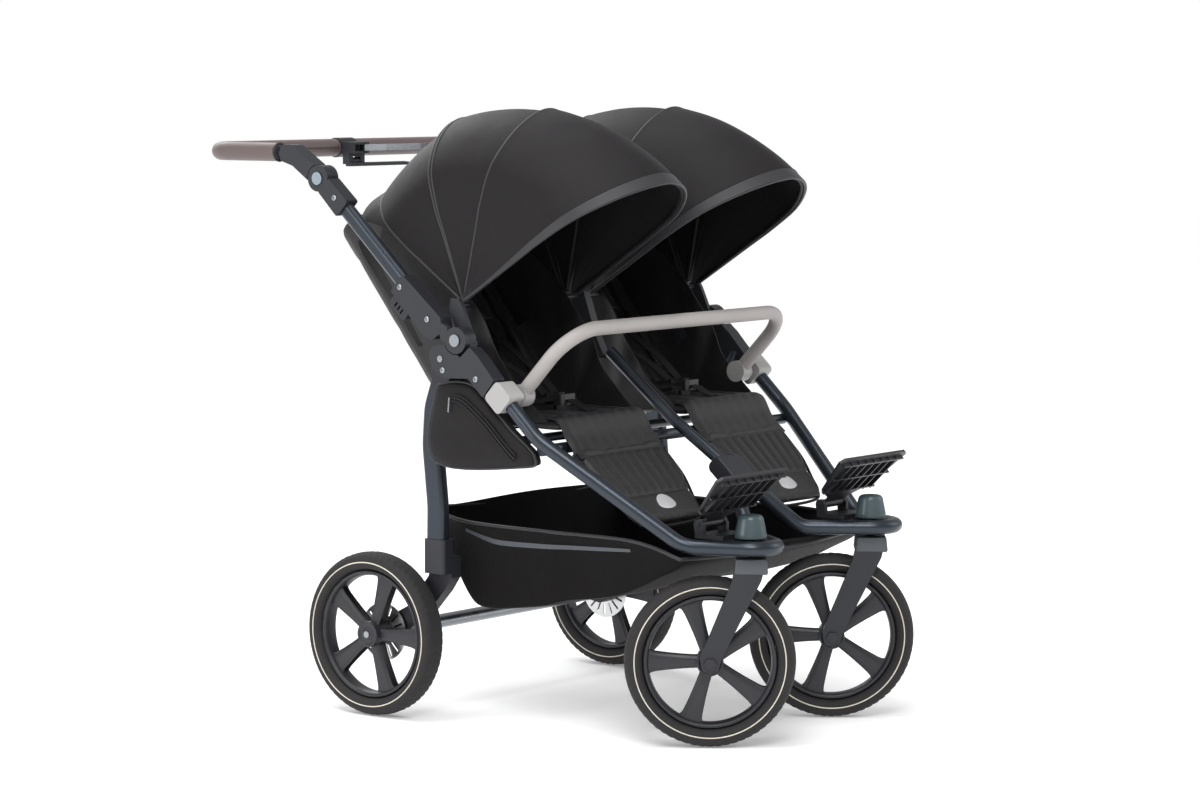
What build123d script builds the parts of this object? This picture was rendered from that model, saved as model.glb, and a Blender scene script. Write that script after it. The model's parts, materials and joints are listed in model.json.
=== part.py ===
from build123d import *
from math import asin, atan2, cos, degrees, hypot, radians, sin
import os

# Side-by-side twin jogging stroller.  Millimetres, +Z up, forward is -Y, the rider's right side is -X.
# Every station below is measured from the middle of the rear axle line on the ground, and pt() moves
# it so that the model's own origin is the middle of its footprint on the ground.

# ---------------------------------------------------------------- driving dimensions
wheel_radius = 150.0
tyre_width = 48.0
tyre_shoulder = 13.0
bead_radius = 117.0
rim_width = 32.0
hub_radius = 21.0
hub_length = 46.0
axle_pin_radius = 6.0
running_gap = 0.05
spoke_count = 5
spoke_width = 21.0
spoke_depth = 18.0
disc_radius = 53.0
disc_thickness = 2.0

rear_track = 707.0
side_tube_x = 376.0
seat_x = 187.0
frame_radius = 13.0
tube_wide = 20.0
tube_high = 30.0

swivel_y = -722.0
swivel_trail = 70.0
swivel_angle = 37.0
loop_radius = 45.0
loop_z = 352.0

fold_y = -225.0
fold_z = 698.0
leg_pivot_y = -191.0
leg_pivot_z = 664.0
leg_x = 332.0
leg_wide = 25.0
leg_deep = 40.0
head_cheek = 3.0
head_boss_radius = 13.0

handle_hinge_y = 100.0
handle_hinge_z = 978.0
handle_rear_y = 390.0
handle_z = 1024.0
handle_bar_radius = 11.0
grip_radius = 17.0
bracket_radius = 19.0

canopy_y = -199.0
canopy_z = 757.0
canopy_top_radius = 346.0
canopy_half_width = 141.0
canopy_brim_radius = 412.0
canopy_brim_half_width = 166.0
canopy_wall = 2.5
canopy_layer_step = 5.0

seat_half_width = 128.0
seat_top = 565.0
seat_thickness = 24.0
back_lean = 51.5
back_length = 474.0
back_front = 29.0
back_rear = 45.0

bumper_radius = 14.0
bumper_x = 329.0
bumper_pivot_y = -326.0
bumper_pivot_z = 602.0
bumper_top_y = -440.0
bumper_top_z = 722.0

basket_half_width = 286.0
basket_wall = 3.5

# ---------------------------------------------------------------- placing
back_x = -sin(radians(swivel_angle))
back_y = cos(radians(swivel_angle))
shoulder_out = wheel_radius - tyre_shoulder
shoulder_side = tyre_width / 2 - tyre_shoulder
front_reach = swivel_y + (swivel_trail - shoulder_out) * back_y + shoulder_side * back_x - tyre_shoulder
rear_reach = handle_rear_y + bracket_radius
axle_y = -(front_reach + rear_reach) / 2

os.makedirs("parts", exist_ok=True)


def pt(x, y, z):
    """A point given from the rear axle line, in the model's own frame."""
    return (x, y + axle_y, z)


def side_plane(x):
    """The upright plane at x, whose own X runs rearwards and own Y runs up, facing +X."""
    return Plane(origin=(x, axle_y, 0), x_dir=(0, 1, 0), z_dir=(1, 0, 0))


def save(piece, label):
    piece.label = label
    export_step(piece, f"parts/{label}.step")


def save_group(pieces, label):
    """Several separate solids of one kind, kept as one node."""
    save(Compound(children=pieces), label)


def oval_rod(start, end, wide, high):
    """A straight oval tube, wide across X and high in the side view."""
    heading = Vector(*end) - Vector(*start)
    with BuildPart() as rod:
        with BuildSketch(Plane(origin=start, x_dir=(1, 0, 0), z_dir=heading)):
            SlotOverall(high, wide, rotation=90)
        extrude(amount=heading.length)
    return rod.part


def round_tube(points, radii, outer, inner=0.0):
    """A round tube or rod along a filleted line."""
    start = Vector(*points[0])
    with BuildPart() as tube:
        with BuildLine() as path:
            if radii:
                FilletPolyline(*points, radius=radii)
            else:
                Line(points[0], points[1])
        with BuildSketch(Plane(origin=start, z_dir=Vector(*points[1]) - start)):
            Circle(outer)
            if inner:
                Circle(inner, mode=Mode.SUBTRACT)
        sweep(path=path.line)
    return tube.part


def crossing(a, heading_a, b, heading_b):
    """Where two level lines, each given by a point and a heading in degrees, cross."""
    ax, ay = cos(radians(heading_a)), sin(radians(heading_a))
    bx, by = cos(radians(heading_b)), sin(radians(heading_b))
    run = ((b[0] - a[0]) * by - (b[1] - a[1]) * bx) / (ax * by - ay * bx)
    return a[0] + ax * run, a[1] + ay * run


# ---------------------------------------------------------------- front frame tubes
upper_end = (-268.0, 657.0)
bend = (-401.0, 531.0)
knee_y, knee_x = -640.0, 271.0
arm_start = (14.5, -552.0)
arm_start_z = 446.0
arm_fall = 112.0
front_tubes = {}
front_tube_list = []

for side, word in ((-1, "right"), (1, "left")):
    # the outer run meets the swivel housing on a tangent, wraps round it and comes back as the inner arm
    knee = (knee_x, knee_y)
    out_run = hypot(seat_x - knee_x, swivel_y - knee_y)
    out_heading = degrees(atan2(swivel_y - knee_y, seat_x - knee_x)) + degrees(asin(loop_radius / out_run))
    in_run = hypot(seat_x - arm_start[0], swivel_y - arm_start[1])
    in_heading = degrees(atan2(swivel_y - arm_start[1], seat_x - arm_start[0]))
    in_heading = in_heading - degrees(asin(loop_radius / in_run))
    nose = crossing(knee, out_heading, arm_start, in_heading)
    arm_knee_x = arm_start[0] + arm_fall * cos(radians(in_heading))
    arm_knee_y = arm_start[1] + arm_fall * sin(radians(in_heading))
    route = [
        pt(side * side_tube_x, *upper_end),
        pt(side * side_tube_x, *bend),
        pt(side * knee[0], knee[1], loop_z),
        pt(side * nose[0], nose[1], loop_z),
        pt(side * arm_knee_x, arm_knee_y, loop_z),
        pt(side * arm_start[0], arm_start[1], arm_start_z),
    ]
    front_tube = round_tube(route, [110, 70, loop_radius, 45], frame_radius)
    save(front_tube, f"front_tube_{word}")
    front_tubes[side] = front_tube
    front_tube_list.append(front_tube)

# the centre tube runs down between the seats and ends in the yoke that also takes both inner arms
centre_end = (-540.0, 459.0)
centre_route = [pt(0, *upper_end), pt(0, -412, 542), pt(0, *centre_end)]
centre_tube = round_tube(centre_route, [120], 11)

with BuildPart() as yoke:
    with BuildSketch(side_plane(0)):
        with Locations((-548, 452)):
            RectangleRounded(66, 34, 12, rotation=42)
    extrude(amount=33, both=True)
    fillet(yoke.edges().filter_by(Axis.X, reverse=True), 4)
    add(centre_tube, mode=Mode.SUBTRACT)
    for tube in front_tube_list:
        add(tube, mode=Mode.SUBTRACT)

# ---------------------------------------------------------------- swivel housings
bearing_radius = loop_radius - frame_radius - 0.5
stem_radius = 9.0
housings = []
for side, word in ((-1, "right"), (1, "left")):
    with BuildPart() as housing:
        with BuildSketch(Plane.XY.offset(loop_z - 12)):
            with Locations(pt(side * seat_x, swivel_y, 0)[:2]):
                Circle(bearing_radius)
                with Locations((side * 4, 34)):
                    Trapezoid(50, 34, 78, rotation=180)
        extrude(amount=22)
        with Locations(pt(side * seat_x, swivel_y, loop_z - 12)):
            Hole(stem_radius + running_gap, depth=60)
        for tube in front_tube_list:
            add(tube, mode=Mode.SUBTRACT)
    housings.append(housing.part)
save_group(housings, "swivel_housings")

# ---------------------------------------------------------------- cross tubes and seat rods
front_cross_y, front_cross_z = -401.0, 512.0
cross_radius = 10.0
cross_reach = side_tube_x - frame_radius + 4
cross_ends = [pt(-cross_reach, front_cross_y, front_cross_z), pt(cross_reach, front_cross_y, front_cross_z)]
with BuildPart() as front_cross:
    add(round_tube(cross_ends, [], cross_radius))
    for tube in front_tube_list:
        add(tube, mode=Mode.SUBTRACT)
save_group([centre_tube, front_cross.part], "centre_and_cross_tubes")

rod_radius = 8.0
stay_radius = 6.0
rear_rod_y, rear_rod_z = -190.0, 531.0
rod_end_y = -289.0
drop_x = 340.0
seat_rod_z = 516.0
rod_top_z = 632.0
rod_shoulder_z = 606.0
seat_rod_route = [
    pt(-side_tube_x + frame_radius - 1, rod_end_y, rod_top_z),
    pt(-drop_x, rod_end_y, rod_shoulder_z),
    pt(-drop_x, rod_end_y, seat_rod_z),
    pt(drop_x, rod_end_y, seat_rod_z),
    pt(drop_x, rod_end_y, rod_shoulder_z),
    pt(side_tube_x - frame_radius + 1, rod_end_y, rod_top_z),
]
with BuildPart() as seat_rod:
    add(round_tube(seat_rod_route, [16, 22, 22, 16], rod_radius))
    for tube in front_tube_list:
        add(tube, mode=Mode.SUBTRACT)

stay_x = 306.0
with BuildPart() as back_rod:
    with BuildSketch(side_plane(-stay_x - rod_radius)):
        with Locations((rear_rod_y, rear_rod_z)):
            Circle(rod_radius)
    extrude(amount=2 * (stay_x + rod_radius))
    for x in (-stay_x, 0, stay_x):
        reach = Vector(*pt(x, rod_end_y, seat_rod_z)) - Vector(*pt(x, rear_rod_y, rear_rod_z))
        with BuildSketch(Plane(origin=pt(x, rear_rod_y, rear_rod_z), z_dir=reach)):
            Circle(stay_radius)
        extrude(amount=reach.length)
    add(seat_rod.part, mode=Mode.SUBTRACT)
save_group([seat_rod.part, back_rod.part], "seat_rods")

# ---------------------------------------------------------------- fold hinge plates
plate_outer = side_tube_x + 15.0
plate_inner = side_tube_x - 15.0
ear_gap = 0.4
ear_split = side_tube_x + 3.0
ear_radius = 24.0
ear_clear = 1.5
pin_radius = 7.0
pin_head = 3.0
leg_pin_radius = 6.0

# side-view outlines, as (y, z) from the rear axle line
lower_outline = [
    (-236, 668), (-206, 690), (-172, 686), (-163, 668), (-172, 644), (-200, 630), (-254, 632), (-288, 600),
    (-314, 632), (-277, 672), (-258, 688),
]
lower_web = [(-252, 672), (-225, 662), (-200, 676), (-202, 692), (-225, 700), (-250, 692)]
upper_outline = [
    (-196, 712), (-172, 697), (-151, 703), (-104, 752), (-74, 780), (-102, 810), (-132, 786), (-190, 738),
]
upper_web = [(-212, 690), (-192, 697), (-182, 732), (-206, 722)]
push_lower_end = (-150.0, 743.6)
push_upper_end = (64.0, 943.0)


def slab(outline, low_x, high_x):
    """A flat plate with the given side-view outline, from low_x to high_x."""
    with BuildPart() as plate:
        with BuildSketch(side_plane(low_x)):
            with BuildLine():
                Polyline(*outline, close=True)
            make_face()
        extrude(amount=high_x - low_x)
    return plate.part


def disc(y, z, radius, low_x, high_x):
    """A round disc, pin or boss along X."""
    with BuildPart() as boss:
        with BuildSketch(side_plane(low_x)):
            with Locations((y, z)):
                Circle(radius)
        extrude(amount=high_x - low_x)
    return boss.part


def across(side, inner, outer):
    """The low and high x of something between two distances from the middle, on one side."""
    return (inner, outer) if side > 0 else (-outer, -inner)


push_tubes = []
lower_plates = []
upper_plates = []
for side, word in ((-1, "right"), (1, "left")):
    push_ends = [pt(side * side_tube_x, *push_lower_end), pt(side * side_tube_x, *push_upper_end)]
    push_tube = oval_rod(*push_ends, tube_wide, tube_high)
    push_tubes.append(push_tube)

    whole = across(side, plate_inner, plate_outer)
    inner_layer = across(side, plate_inner, ear_split - ear_gap / 2)
    outer_layer = across(side, ear_split + ear_gap / 2, plate_outer)
    with BuildPart() as lower_plate:
        add(slab(lower_outline, *whole))
        fillet(lower_plate.edges().filter_by(Axis.X), 4)
        add(disc(fold_y, fold_z, ear_radius + ear_clear, *whole), mode=Mode.SUBTRACT)
        add(slab(lower_web, *inner_layer))
        add(disc(fold_y, fold_z, ear_radius, *inner_layer))
        add(disc(fold_y, fold_z, pin_radius, *whole), mode=Mode.SUBTRACT)
        add(disc(leg_pivot_y, leg_pivot_z, leg_pin_radius, *whole), mode=Mode.SUBTRACT)
        add(seat_rod.part, mode=Mode.SUBTRACT)
        for tube in front_tube_list:
            add(tube, mode=Mode.SUBTRACT)
    lower_plates.append(lower_plate.part)

    with BuildPart() as upper_plate:
        add(slab(upper_outline, *whole))
        fillet(upper_plate.edges().filter_by(Axis.X), 4)
        add(disc(fold_y, fold_z, ear_radius + ear_clear, *whole), mode=Mode.SUBTRACT)
        add(slab(upper_web, *outer_layer))
        add(disc(fold_y, fold_z, ear_radius, *outer_layer))
        add(disc(fold_y, fold_z, pin_radius + running_gap, *whole), mode=Mode.SUBTRACT)
        add(push_tube, mode=Mode.SUBTRACT)
    upper_plates.append(upper_plate.part)
save_group(push_tubes, "push_tubes")
save_group(lower_plates, "lower_hinge_plates")
save_group(upper_plates, "upper_hinge_plates")

with BuildPart() as hinge_pins:
    for side in (-1, 1):
        add(disc(leg_pivot_y, leg_pivot_z, leg_pin_radius, *across(side, leg_x - leg_wide / 2 - head_cheek,
                                                                    plate_outer + 2)))
        add(disc(fold_y, fold_z, pin_radius, *across(side, plate_inner, plate_outer + pin_head)))
        add(disc(fold_y, fold_z, pin_radius + 4, *across(side, plate_outer + 0.3, plate_outer + pin_head)))
save(hinge_pins.part, "hinge_pins")

# the release blocks slide up along the push tube's rear face
push_lean = degrees(atan2(push_upper_end[1] - push_lower_end[1], push_upper_end[0] - push_lower_end[0]))
block_long, block_deep, block_wide = 48.0, 20.0, 22.0
block_y, block_z = -90.0, 750.0
slot_count = 3
for side, word in ((-1, "right"), (1, "left")):
    with BuildPart() as fold_lever:
        with BuildSketch(side_plane(across(side, side_tube_x - block_wide / 2, side_tube_x + block_wide / 2)[0])):
            with Locations((block_y, block_z)):
                RectangleRounded(block_long, block_deep, 6, rotation=push_lean)
                with Locations(Location((0, 0, 0), (0, 0, push_lean))):
                    with GridLocations(9, 1, slot_count, 1):
                        SlotOverall(11, 3.5, rotation=90, mode=Mode.SUBTRACT)
        extrude(amount=block_wide)
        for plate in upper_plates:
            add(plate, mode=Mode.SUBTRACT)
    save(fold_lever.part, f"fold_lever_{word}")

# ---------------------------------------------------------------- rear legs and axle
leg_route = [(-152, 636), (-128, 568), (-123, 500), (-134, 392), (-132, 270)]
foot_inner, foot_outer = 298.0, 324.0
axle_radius = 13.0
foot_outline = [
    (-158, 262), (-158, 300), (-112, 300), (-104, 262), (-60, 205), (16, 166), (20, 150), (12, 134), (-12, 130),
    (-30, 138), (-96, 188), (-140, 236),
]
head_outline = [(-210, 664), (-196, 684), (-172, 680), (-132, 644), (-134, 600), (-164, 600), (-182, 640)]
wheel_x = rear_track / 2
axle_end = wheel_x + hub_length / 2
legs = []
castings = []

for side, word in ((-1, "right"), (1, "left")):
    with BuildPart() as leg:
        with BuildLine() as leg_line:
            FilletPolyline(*[pt(side * leg_x, y, z) for y, z in leg_route], radius=[90, 150, 200])
        start = Vector(*pt(side * leg_x, *leg_route[0]))
        heading = Vector(*pt(side * leg_x, *leg_route[1])) - start
        with BuildSketch(Plane(origin=start, x_dir=(1, 0, 0), z_dir=heading)):
            RectangleRounded(leg_wide, leg_deep, 9)
        sweep(path=leg_line.line)
    legs.append(leg.part)

    with BuildPart() as head:
        add(slab(head_outline, *across(side, leg_x - leg_wide / 2 - head_cheek, leg_x + leg_wide / 2 + head_cheek)))
        fillet(head.edges().filter_by(Axis.X), 5)
        add(disc(leg_pivot_y, leg_pivot_z, head_boss_radius, *across(side, leg_x, plate_inner - ear_gap)))
        add(disc(leg_pivot_y, leg_pivot_z, leg_pin_radius + running_gap, *across(side, 300, 380)), mode=Mode.SUBTRACT)
        add(leg.part, mode=Mode.SUBTRACT)
    castings.append(head.part)

    with BuildPart() as foot:
        add(slab(foot_outline, *across(side, foot_inner, foot_outer)))
        fillet(foot.edges().filter_by(Axis.X), 6)
        with BuildSketch(Plane.XY.offset(270)):
            with Locations(pt(side * (leg_x - 2), -134, 0)[:2]):
                RectangleRounded(leg_wide + 9, leg_deep + 8, 8)
        extrude(amount=62)
        add(leg.part, mode=Mode.SUBTRACT)
        add(disc(0, wheel_radius, axle_radius, *across(side, foot_inner, foot_inner + 14)), mode=Mode.SUBTRACT)
        add(disc(0, wheel_radius, axle_pin_radius, *across(side, foot_inner, foot_outer)), mode=Mode.SUBTRACT)
    castings.append(foot.part)
save_group(legs, "rear_legs")
save_group(castings, "leg_castings")

with BuildPart() as rear_axle:
    add(disc(0, wheel_radius, axle_radius, -foot_inner - 14, foot_inner + 14))
    add(disc(0, wheel_radius, axle_pin_radius, -axle_end - 2, axle_end + 2))
save(rear_axle.part, "rear_axle")

# ---------------------------------------------------------------- wheels
def wheel(centre, axle_dir, level_dir, word, disc_side=0):
    """A tyre, a five-spoke rim and, where disc_side is not 0, a slotted brake disc on that side."""
    axle_dir, level_dir = Vector(*axle_dir), Vector(*level_dir)
    section = Plane(origin=centre, x_dir=level_dir, z_dir=level_dir.cross(axle_dir))
    spin_axis = Axis(centre, axle_dir)
    tread_depth = wheel_radius - bead_radius
    with BuildPart() as tyre:
        with BuildSketch(section):
            with Locations((bead_radius + tread_depth / 2, 0)):
                RectangleRounded(tread_depth, tyre_width, tyre_shoulder)
        revolve(axis=spin_axis)
    save(tyre.part, f"{word}_tyre")

    spoke_run = bead_radius - 8 - hub_radius + 6
    with BuildPart() as rim:
        with BuildSketch(section):
            with Locations((bead_radius - 5, 0)):
                RectangleRounded(10, rim_width, 3)
            with Locations(((hub_radius + axle_pin_radius) / 2 + 1, 0)):
                Rectangle(hub_radius - axle_pin_radius + 2, hub_length)
        revolve(axis=spin_axis)
        with BuildSketch(Plane(origin=centre, x_dir=level_dir, z_dir=axle_dir).offset(-spoke_depth / 2)):
            with PolarLocations(hub_radius + spoke_run / 2 - 3, spoke_count, start_angle=90):
                Trapezoid(spoke_width * 1.35, spoke_run, 86, rotation=90)
        extrude(amount=spoke_depth)
        with BuildSketch(Plane(origin=centre, x_dir=level_dir, z_dir=axle_dir).offset(-hub_length)):
            Circle(axle_pin_radius + running_gap)
        extrude(amount=2 * hub_length, mode=Mode.SUBTRACT)
    save(rim.part, f"{word}_rim")

    if disc_side:
        face = disc_side * (hub_length / 2 + 0.3)
        with BuildPart() as brake:
            with BuildSketch(Plane(origin=centre, x_dir=level_dir, z_dir=axle_dir * disc_side).offset(abs(face))):
                Circle(disc_radius)
                Circle(axle_pin_radius + 2, mode=Mode.SUBTRACT)
                with PolarLocations(disc_radius * 0.7, 16):
                    SlotOverall(22, 4, mode=Mode.SUBTRACT)
            extrude(amount=disc_thickness)
        save(brake.part, f"{word}_brake_disc")


trail_dir = (back_x, back_y, 0)
caster_axle_dir = (-back_y, back_x, 0)
blade_side_dir = (back_y, -back_x, 0)
for side, word in ((-1, "right"), (1, "left")):
    wheel(pt(side * wheel_x, 0, wheel_radius), (side, 0, 0), (0, 1, 0), f"rear_{word}", disc_side=-1)
    caster_centre = pt(side * seat_x + swivel_trail * back_x, swivel_y + swivel_trail * back_y, wheel_radius)
    wheel(caster_centre, caster_axle_dir, trail_dir, f"front_{word}")

# ---------------------------------------------------------------- casters
blade_near, blade_far = 27.0, 38.0
bolt_head = 5.0
crown_low, crown_high = wheel_radius * 2 + 7, loop_z - 19
stem_top = loop_z + 8
knob_low = loop_z + 14.5
knob_base, knob_top, knob_high = 28.0, 21.0, 40.0
for side, word in ((-1, "right"), (1, "left")):
    swivel = Vector(*pt(side * seat_x, swivel_y, 0))
    fork_plane = Plane(origin=swivel, x_dir=trail_dir, z_dir=(0, 0, 1))
    blade_plane = Plane(origin=swivel, x_dir=trail_dir, z_dir=blade_side_dir)
    with BuildPart() as fork:
        with BuildSketch(blade_plane.offset(-blade_far)):
            with BuildLine():
                Polyline((-27, crown_high), (25, crown_high), (34, 292), (88, 160), (84, 138), (70, 132), (56, 138),
                         (50, 160), (-18, 296), close=True)
            make_face()
        extrude(amount=blade_far - blade_near)
        fillet(fork.edges().filter_by(lambda e: e.geom_type == GeomType.LINE and e.length < 11.5), 6)
        with BuildSketch(fork_plane.offset(crown_low)):
            Circle(25)
            with Locations((0, blade_near / 2 + 4)):
                Rectangle(48, blade_near + 14)
        extrude(amount=crown_high - crown_low)
        with BuildSketch(fork_plane.offset(crown_low)):
            Circle(stem_radius)
        extrude(amount=stem_top - crown_low)
        with BuildSketch(blade_plane.offset(-100)):
            with Locations((swivel_trail, wheel_radius)):
                Circle(axle_pin_radius)
        extrude(amount=200, mode=Mode.SUBTRACT)

    with BuildPart() as bolt:
        with BuildSketch(blade_plane.offset(-blade_far)):
            with Locations((swivel_trail, wheel_radius)):
                Circle(axle_pin_radius)
        extrude(amount=hub_length / 2 + 1 + blade_far)
        with BuildSketch(blade_plane.offset(-blade_far - bolt_head)):
            with Locations((swivel_trail, wheel_radius)):
                RegularPolygon(11, 6)
        extrude(amount=bolt_head)
    save_group([fork.part, bolt.part], f"caster_fork_{word}")

    with BuildPart() as knob:
        with BuildSketch(Plane(origin=pt(side * seat_x, swivel_y, 0), x_dir=(1, 0, 0), z_dir=(0, -1, 0))):
            with BuildLine():
                Polyline((0, knob_low), (knob_base, knob_low), (knob_base, knob_low + 6),
                         (knob_top, knob_low + knob_high), (0, knob_low + knob_high), close=True)
            make_face()
        revolve(axis=Axis(pt(side * seat_x, swivel_y, 0), (0, 0, 1)))
        fillet(knob.edges().group_by(Axis.Z)[-1], 9)
    save(knob.part, f"swivel_lock_knob_{word}")

# ---------------------------------------------------------------- footrests
foot_pivot_y, foot_pivot_z = -636.0, 386.0
foot_lean = 135.7
plate_long, plate_wide, plate_thick = 134.0, 214.0, 5.0
foot_pin_radius = 4.0
rib_count, rib_pitch, rib_thick, rib_high = 7, 24.0, 3.0, 7.0
brackets = []
for side, word in ((-1, "right"), (1, "left")):
    low = side * seat_x - 40
    with BuildPart() as bracket:
        with BuildSketch(Plane.XY.offset(loop_z + 10)):
            with Locations(pt(side * seat_x, -660, 0)[:2]):
                Rectangle(76, 60)
        extrude(amount=8)
        for x in (-38, 30):
            add(disc(foot_pivot_y, foot_pivot_z, 9, side * seat_x + x, side * seat_x + x + 8))
            add(slab([(-648, 362), (-648, 386), (-627, 386), (-631, 362)], side * seat_x + x, side * seat_x + x + 8))
        add(disc(foot_pivot_y, foot_pivot_z, foot_pin_radius, low, low + 80))
    brackets.append(bracket.part)

    # the plate leans forward from its pivot, and its ribs stand on the underside
    rest_plane = Plane(
        origin=pt(side * seat_x, foot_pivot_y, foot_pivot_z),
        x_dir=(1, 0, 0),
        z_dir=(0, -sin(radians(foot_lean)), cos(radians(foot_lean))),
    )
    rib_base = rest_plane.offset(plate_thick / 2)
    half = plate_wide / 2
    with BuildPart() as rest:
        with BuildSketch(rest_plane.offset(-plate_thick / 2)):
            with BuildLine():
                Polyline((-28, 0), (28, 0), (28, 16), (half - 30, 44), (half, plate_long - 8), (half - 10, plate_long),
                         (10 - half, plate_long), (-half, plate_long - 8), (30 - half, 44), (-28, 16), close=True)
            make_face()
        extrude(amount=plate_thick)
        for run in range(rib_count):
            with BuildSketch(rib_base):
                with Locations(((run - (rib_count - 1) / 2) * rib_pitch, 84)):
                    Rectangle(rib_thick, 84)
            extrude(amount=rib_high)
        for run in (46, 84, 122):
            with BuildSketch(rib_base):
                with Locations((0, run)):
                    Rectangle(150 + run / 3, rib_thick)
            extrude(amount=rib_high)
        add(disc(foot_pivot_y, foot_pivot_z, 8, side * seat_x - 28, side * seat_x + 28))
        add(disc(foot_pivot_y, foot_pivot_z, foot_pin_radius + running_gap, low, low + 80), mode=Mode.SUBTRACT)
    save(rest.part, f"footrest_{word}")
save_group(brackets, "footrest_brackets")

# ---------------------------------------------------------------- handle
cast_half = 17.0
bar_start_y = 150.0
button_radius = 11.6
button_face = plate_outer + 3
recess_floor = plate_outer - 6
hinge_pin_radius = 6.0
base_outline = [(28.4, 937.3), (88.4, 990.4), (111.6, 965.6), (54.4, 909.5)]
base_web = [(70, 968), (88, 990), (112, 966), (92, 948)]
arm_outline = [
    (92.8, handle_hinge_z + 15), (164, handle_z + 14), (192, handle_z + 14),
    (192, handle_z - 15), (162, handle_z - 24), (108, handle_hinge_z - 15),
]
arm_web = [
    (88, handle_hinge_z + 7), (120, handle_hinge_z + 30), (138, handle_hinge_z + 12), (108, handle_hinge_z - 16),
]
bar_start_z = handle_z - 18
bar_route = [
    pt(-side_tube_x, bar_start_y, bar_start_z), pt(-side_tube_x, 190, handle_z), pt(-side_tube_x, handle_rear_y, handle_z),
    pt(side_tube_x, handle_rear_y, handle_z), pt(side_tube_x, 190, handle_z), pt(side_tube_x, bar_start_y, bar_start_z),
]
handle_bar = round_tube(bar_route, [30, 60, 60, 30], handle_bar_radius)
save(handle_bar, "handle_bar")

grip_inner_x = 24.0
grips = []
bases = []
arms = []
for side, word in ((-1, "right"), (1, "left")):
    grip_route = [
        pt(side * side_tube_x, 206, handle_z),
        pt(side * side_tube_x, handle_rear_y, handle_z),
        pt(side * grip_inner_x, handle_rear_y, handle_z),
    ]
    grips.append(round_tube(grip_route, [60], grip_radius, handle_bar_radius))

    whole = across(side, plate_inner, plate_outer)
    inner_layer = across(side, plate_inner, ear_split - ear_gap / 2)
    outer_layer = across(side, ear_split + ear_gap / 2, plate_outer)
    with BuildPart() as base:
        add(slab(base_outline, *whole))
        fillet(base.edges().filter_by(Axis.X), 4)
        add(disc(handle_hinge_y, handle_hinge_z, ear_radius + ear_clear, *whole), mode=Mode.SUBTRACT)
        add(slab(base_web, *outer_layer))
        add(disc(handle_hinge_y, handle_hinge_z, ear_radius, *outer_layer))
        add(disc(handle_hinge_y, handle_hinge_z, button_radius + 0.4, *across(side, recess_floor, 400)),
            mode=Mode.SUBTRACT)
        add(disc(handle_hinge_y, handle_hinge_z, hinge_pin_radius, *whole), mode=Mode.SUBTRACT)
        add(push_tubes[0 if side < 0 else 1], mode=Mode.SUBTRACT)
    bases.append(base.part)

    with BuildPart() as arm:
        add(slab(arm_outline, *whole))
        fillet(arm.edges().filter_by(Axis.X), 6)
        add(disc(handle_hinge_y, handle_hinge_z, ear_radius + ear_clear, *whole), mode=Mode.SUBTRACT)
        add(slab(arm_web, *inner_layer))
        add(disc(handle_hinge_y, handle_hinge_z, ear_radius, *inner_layer))
        add(disc(handle_hinge_y, handle_hinge_z, hinge_pin_radius + running_gap, *whole), mode=Mode.SUBTRACT)
        add(handle_bar, mode=Mode.SUBTRACT)
    arms.append(arm.part)
    save(disc(handle_hinge_y, handle_hinge_z, button_radius, *across(side, recess_floor + 3, button_face)),
         f"handle_button_{word}")
save_group(grips, "handle_grips")
save_group(arms, "handle_arms")

with BuildPart() as handle_pins:
    for side in (-1, 1):
        add(disc(handle_hinge_y, handle_hinge_z, hinge_pin_radius, *across(side, plate_inner, recess_floor - 0.2)))
save_group([*bases, handle_pins.part], "handle_joint_bases")

# the brake lever swings in the bracket towards the bar; the parking lever turns about a cross pin below
lever_pin_radius = 3.0
lever_x, lever_y = 12.0, 342.0
park_y, park_z = 362.0, handle_z - 26
with BuildPart() as bracket:
    with BuildSketch(side_plane(-grip_inner_x + 1)):
        with Locations((handle_rear_y, handle_z)):
            Circle(bracket_radius)
        with Locations((lever_y + 24, handle_z)):
            Rectangle(48, 22)
        with Locations((park_y, park_z + 6)):
            Rectangle(16, 24)
    extrude(amount=2 * grip_inner_x - 2)
    with Locations(pt(lever_x, lever_y, handle_z)):
        Box(60, 36, 12.6, mode=Mode.SUBTRACT)
    with BuildSketch(Plane.XY.offset(handle_z - 11)):
        with Locations(pt(lever_x, lever_y, 0)[:2]):
            Circle(lever_pin_radius)
    extrude(amount=22)
    with BuildSketch(side_plane(-11)):
        with Locations((park_y, park_z - 2)):
            Rectangle(30, 22)
    extrude(amount=22, mode=Mode.SUBTRACT)
    add(disc(park_y, park_z, lever_pin_radius, -grip_inner_x + 1, grip_inner_x - 1))
    add(handle_bar, mode=Mode.SUBTRACT)
save(bracket.part, "brake_bracket")

with BuildPart() as brake_lever:
    with BuildSketch(Plane.XY.offset(handle_z - 6)):
        with BuildLine():
            Polyline(pt(3, 336, 0)[:2], pt(60, 332, 0)[:2], pt(170, 336, 0)[:2], pt(206, 345, 0)[:2],
                     pt(204, 351, 0)[:2], pt(168, 346, 0)[:2], pt(60, 345, 0)[:2], pt(3, 349, 0)[:2], close=True)
        make_face()
    extrude(amount=12)
    with BuildSketch(Plane.XY.offset(handle_z - 6)):
        with Locations(pt(lever_x, lever_y, 0)[:2]):
            Circle(lever_pin_radius + running_gap)
    extrude(amount=12, mode=Mode.SUBTRACT)
save(brake_lever.part, "brake_lever")

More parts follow.
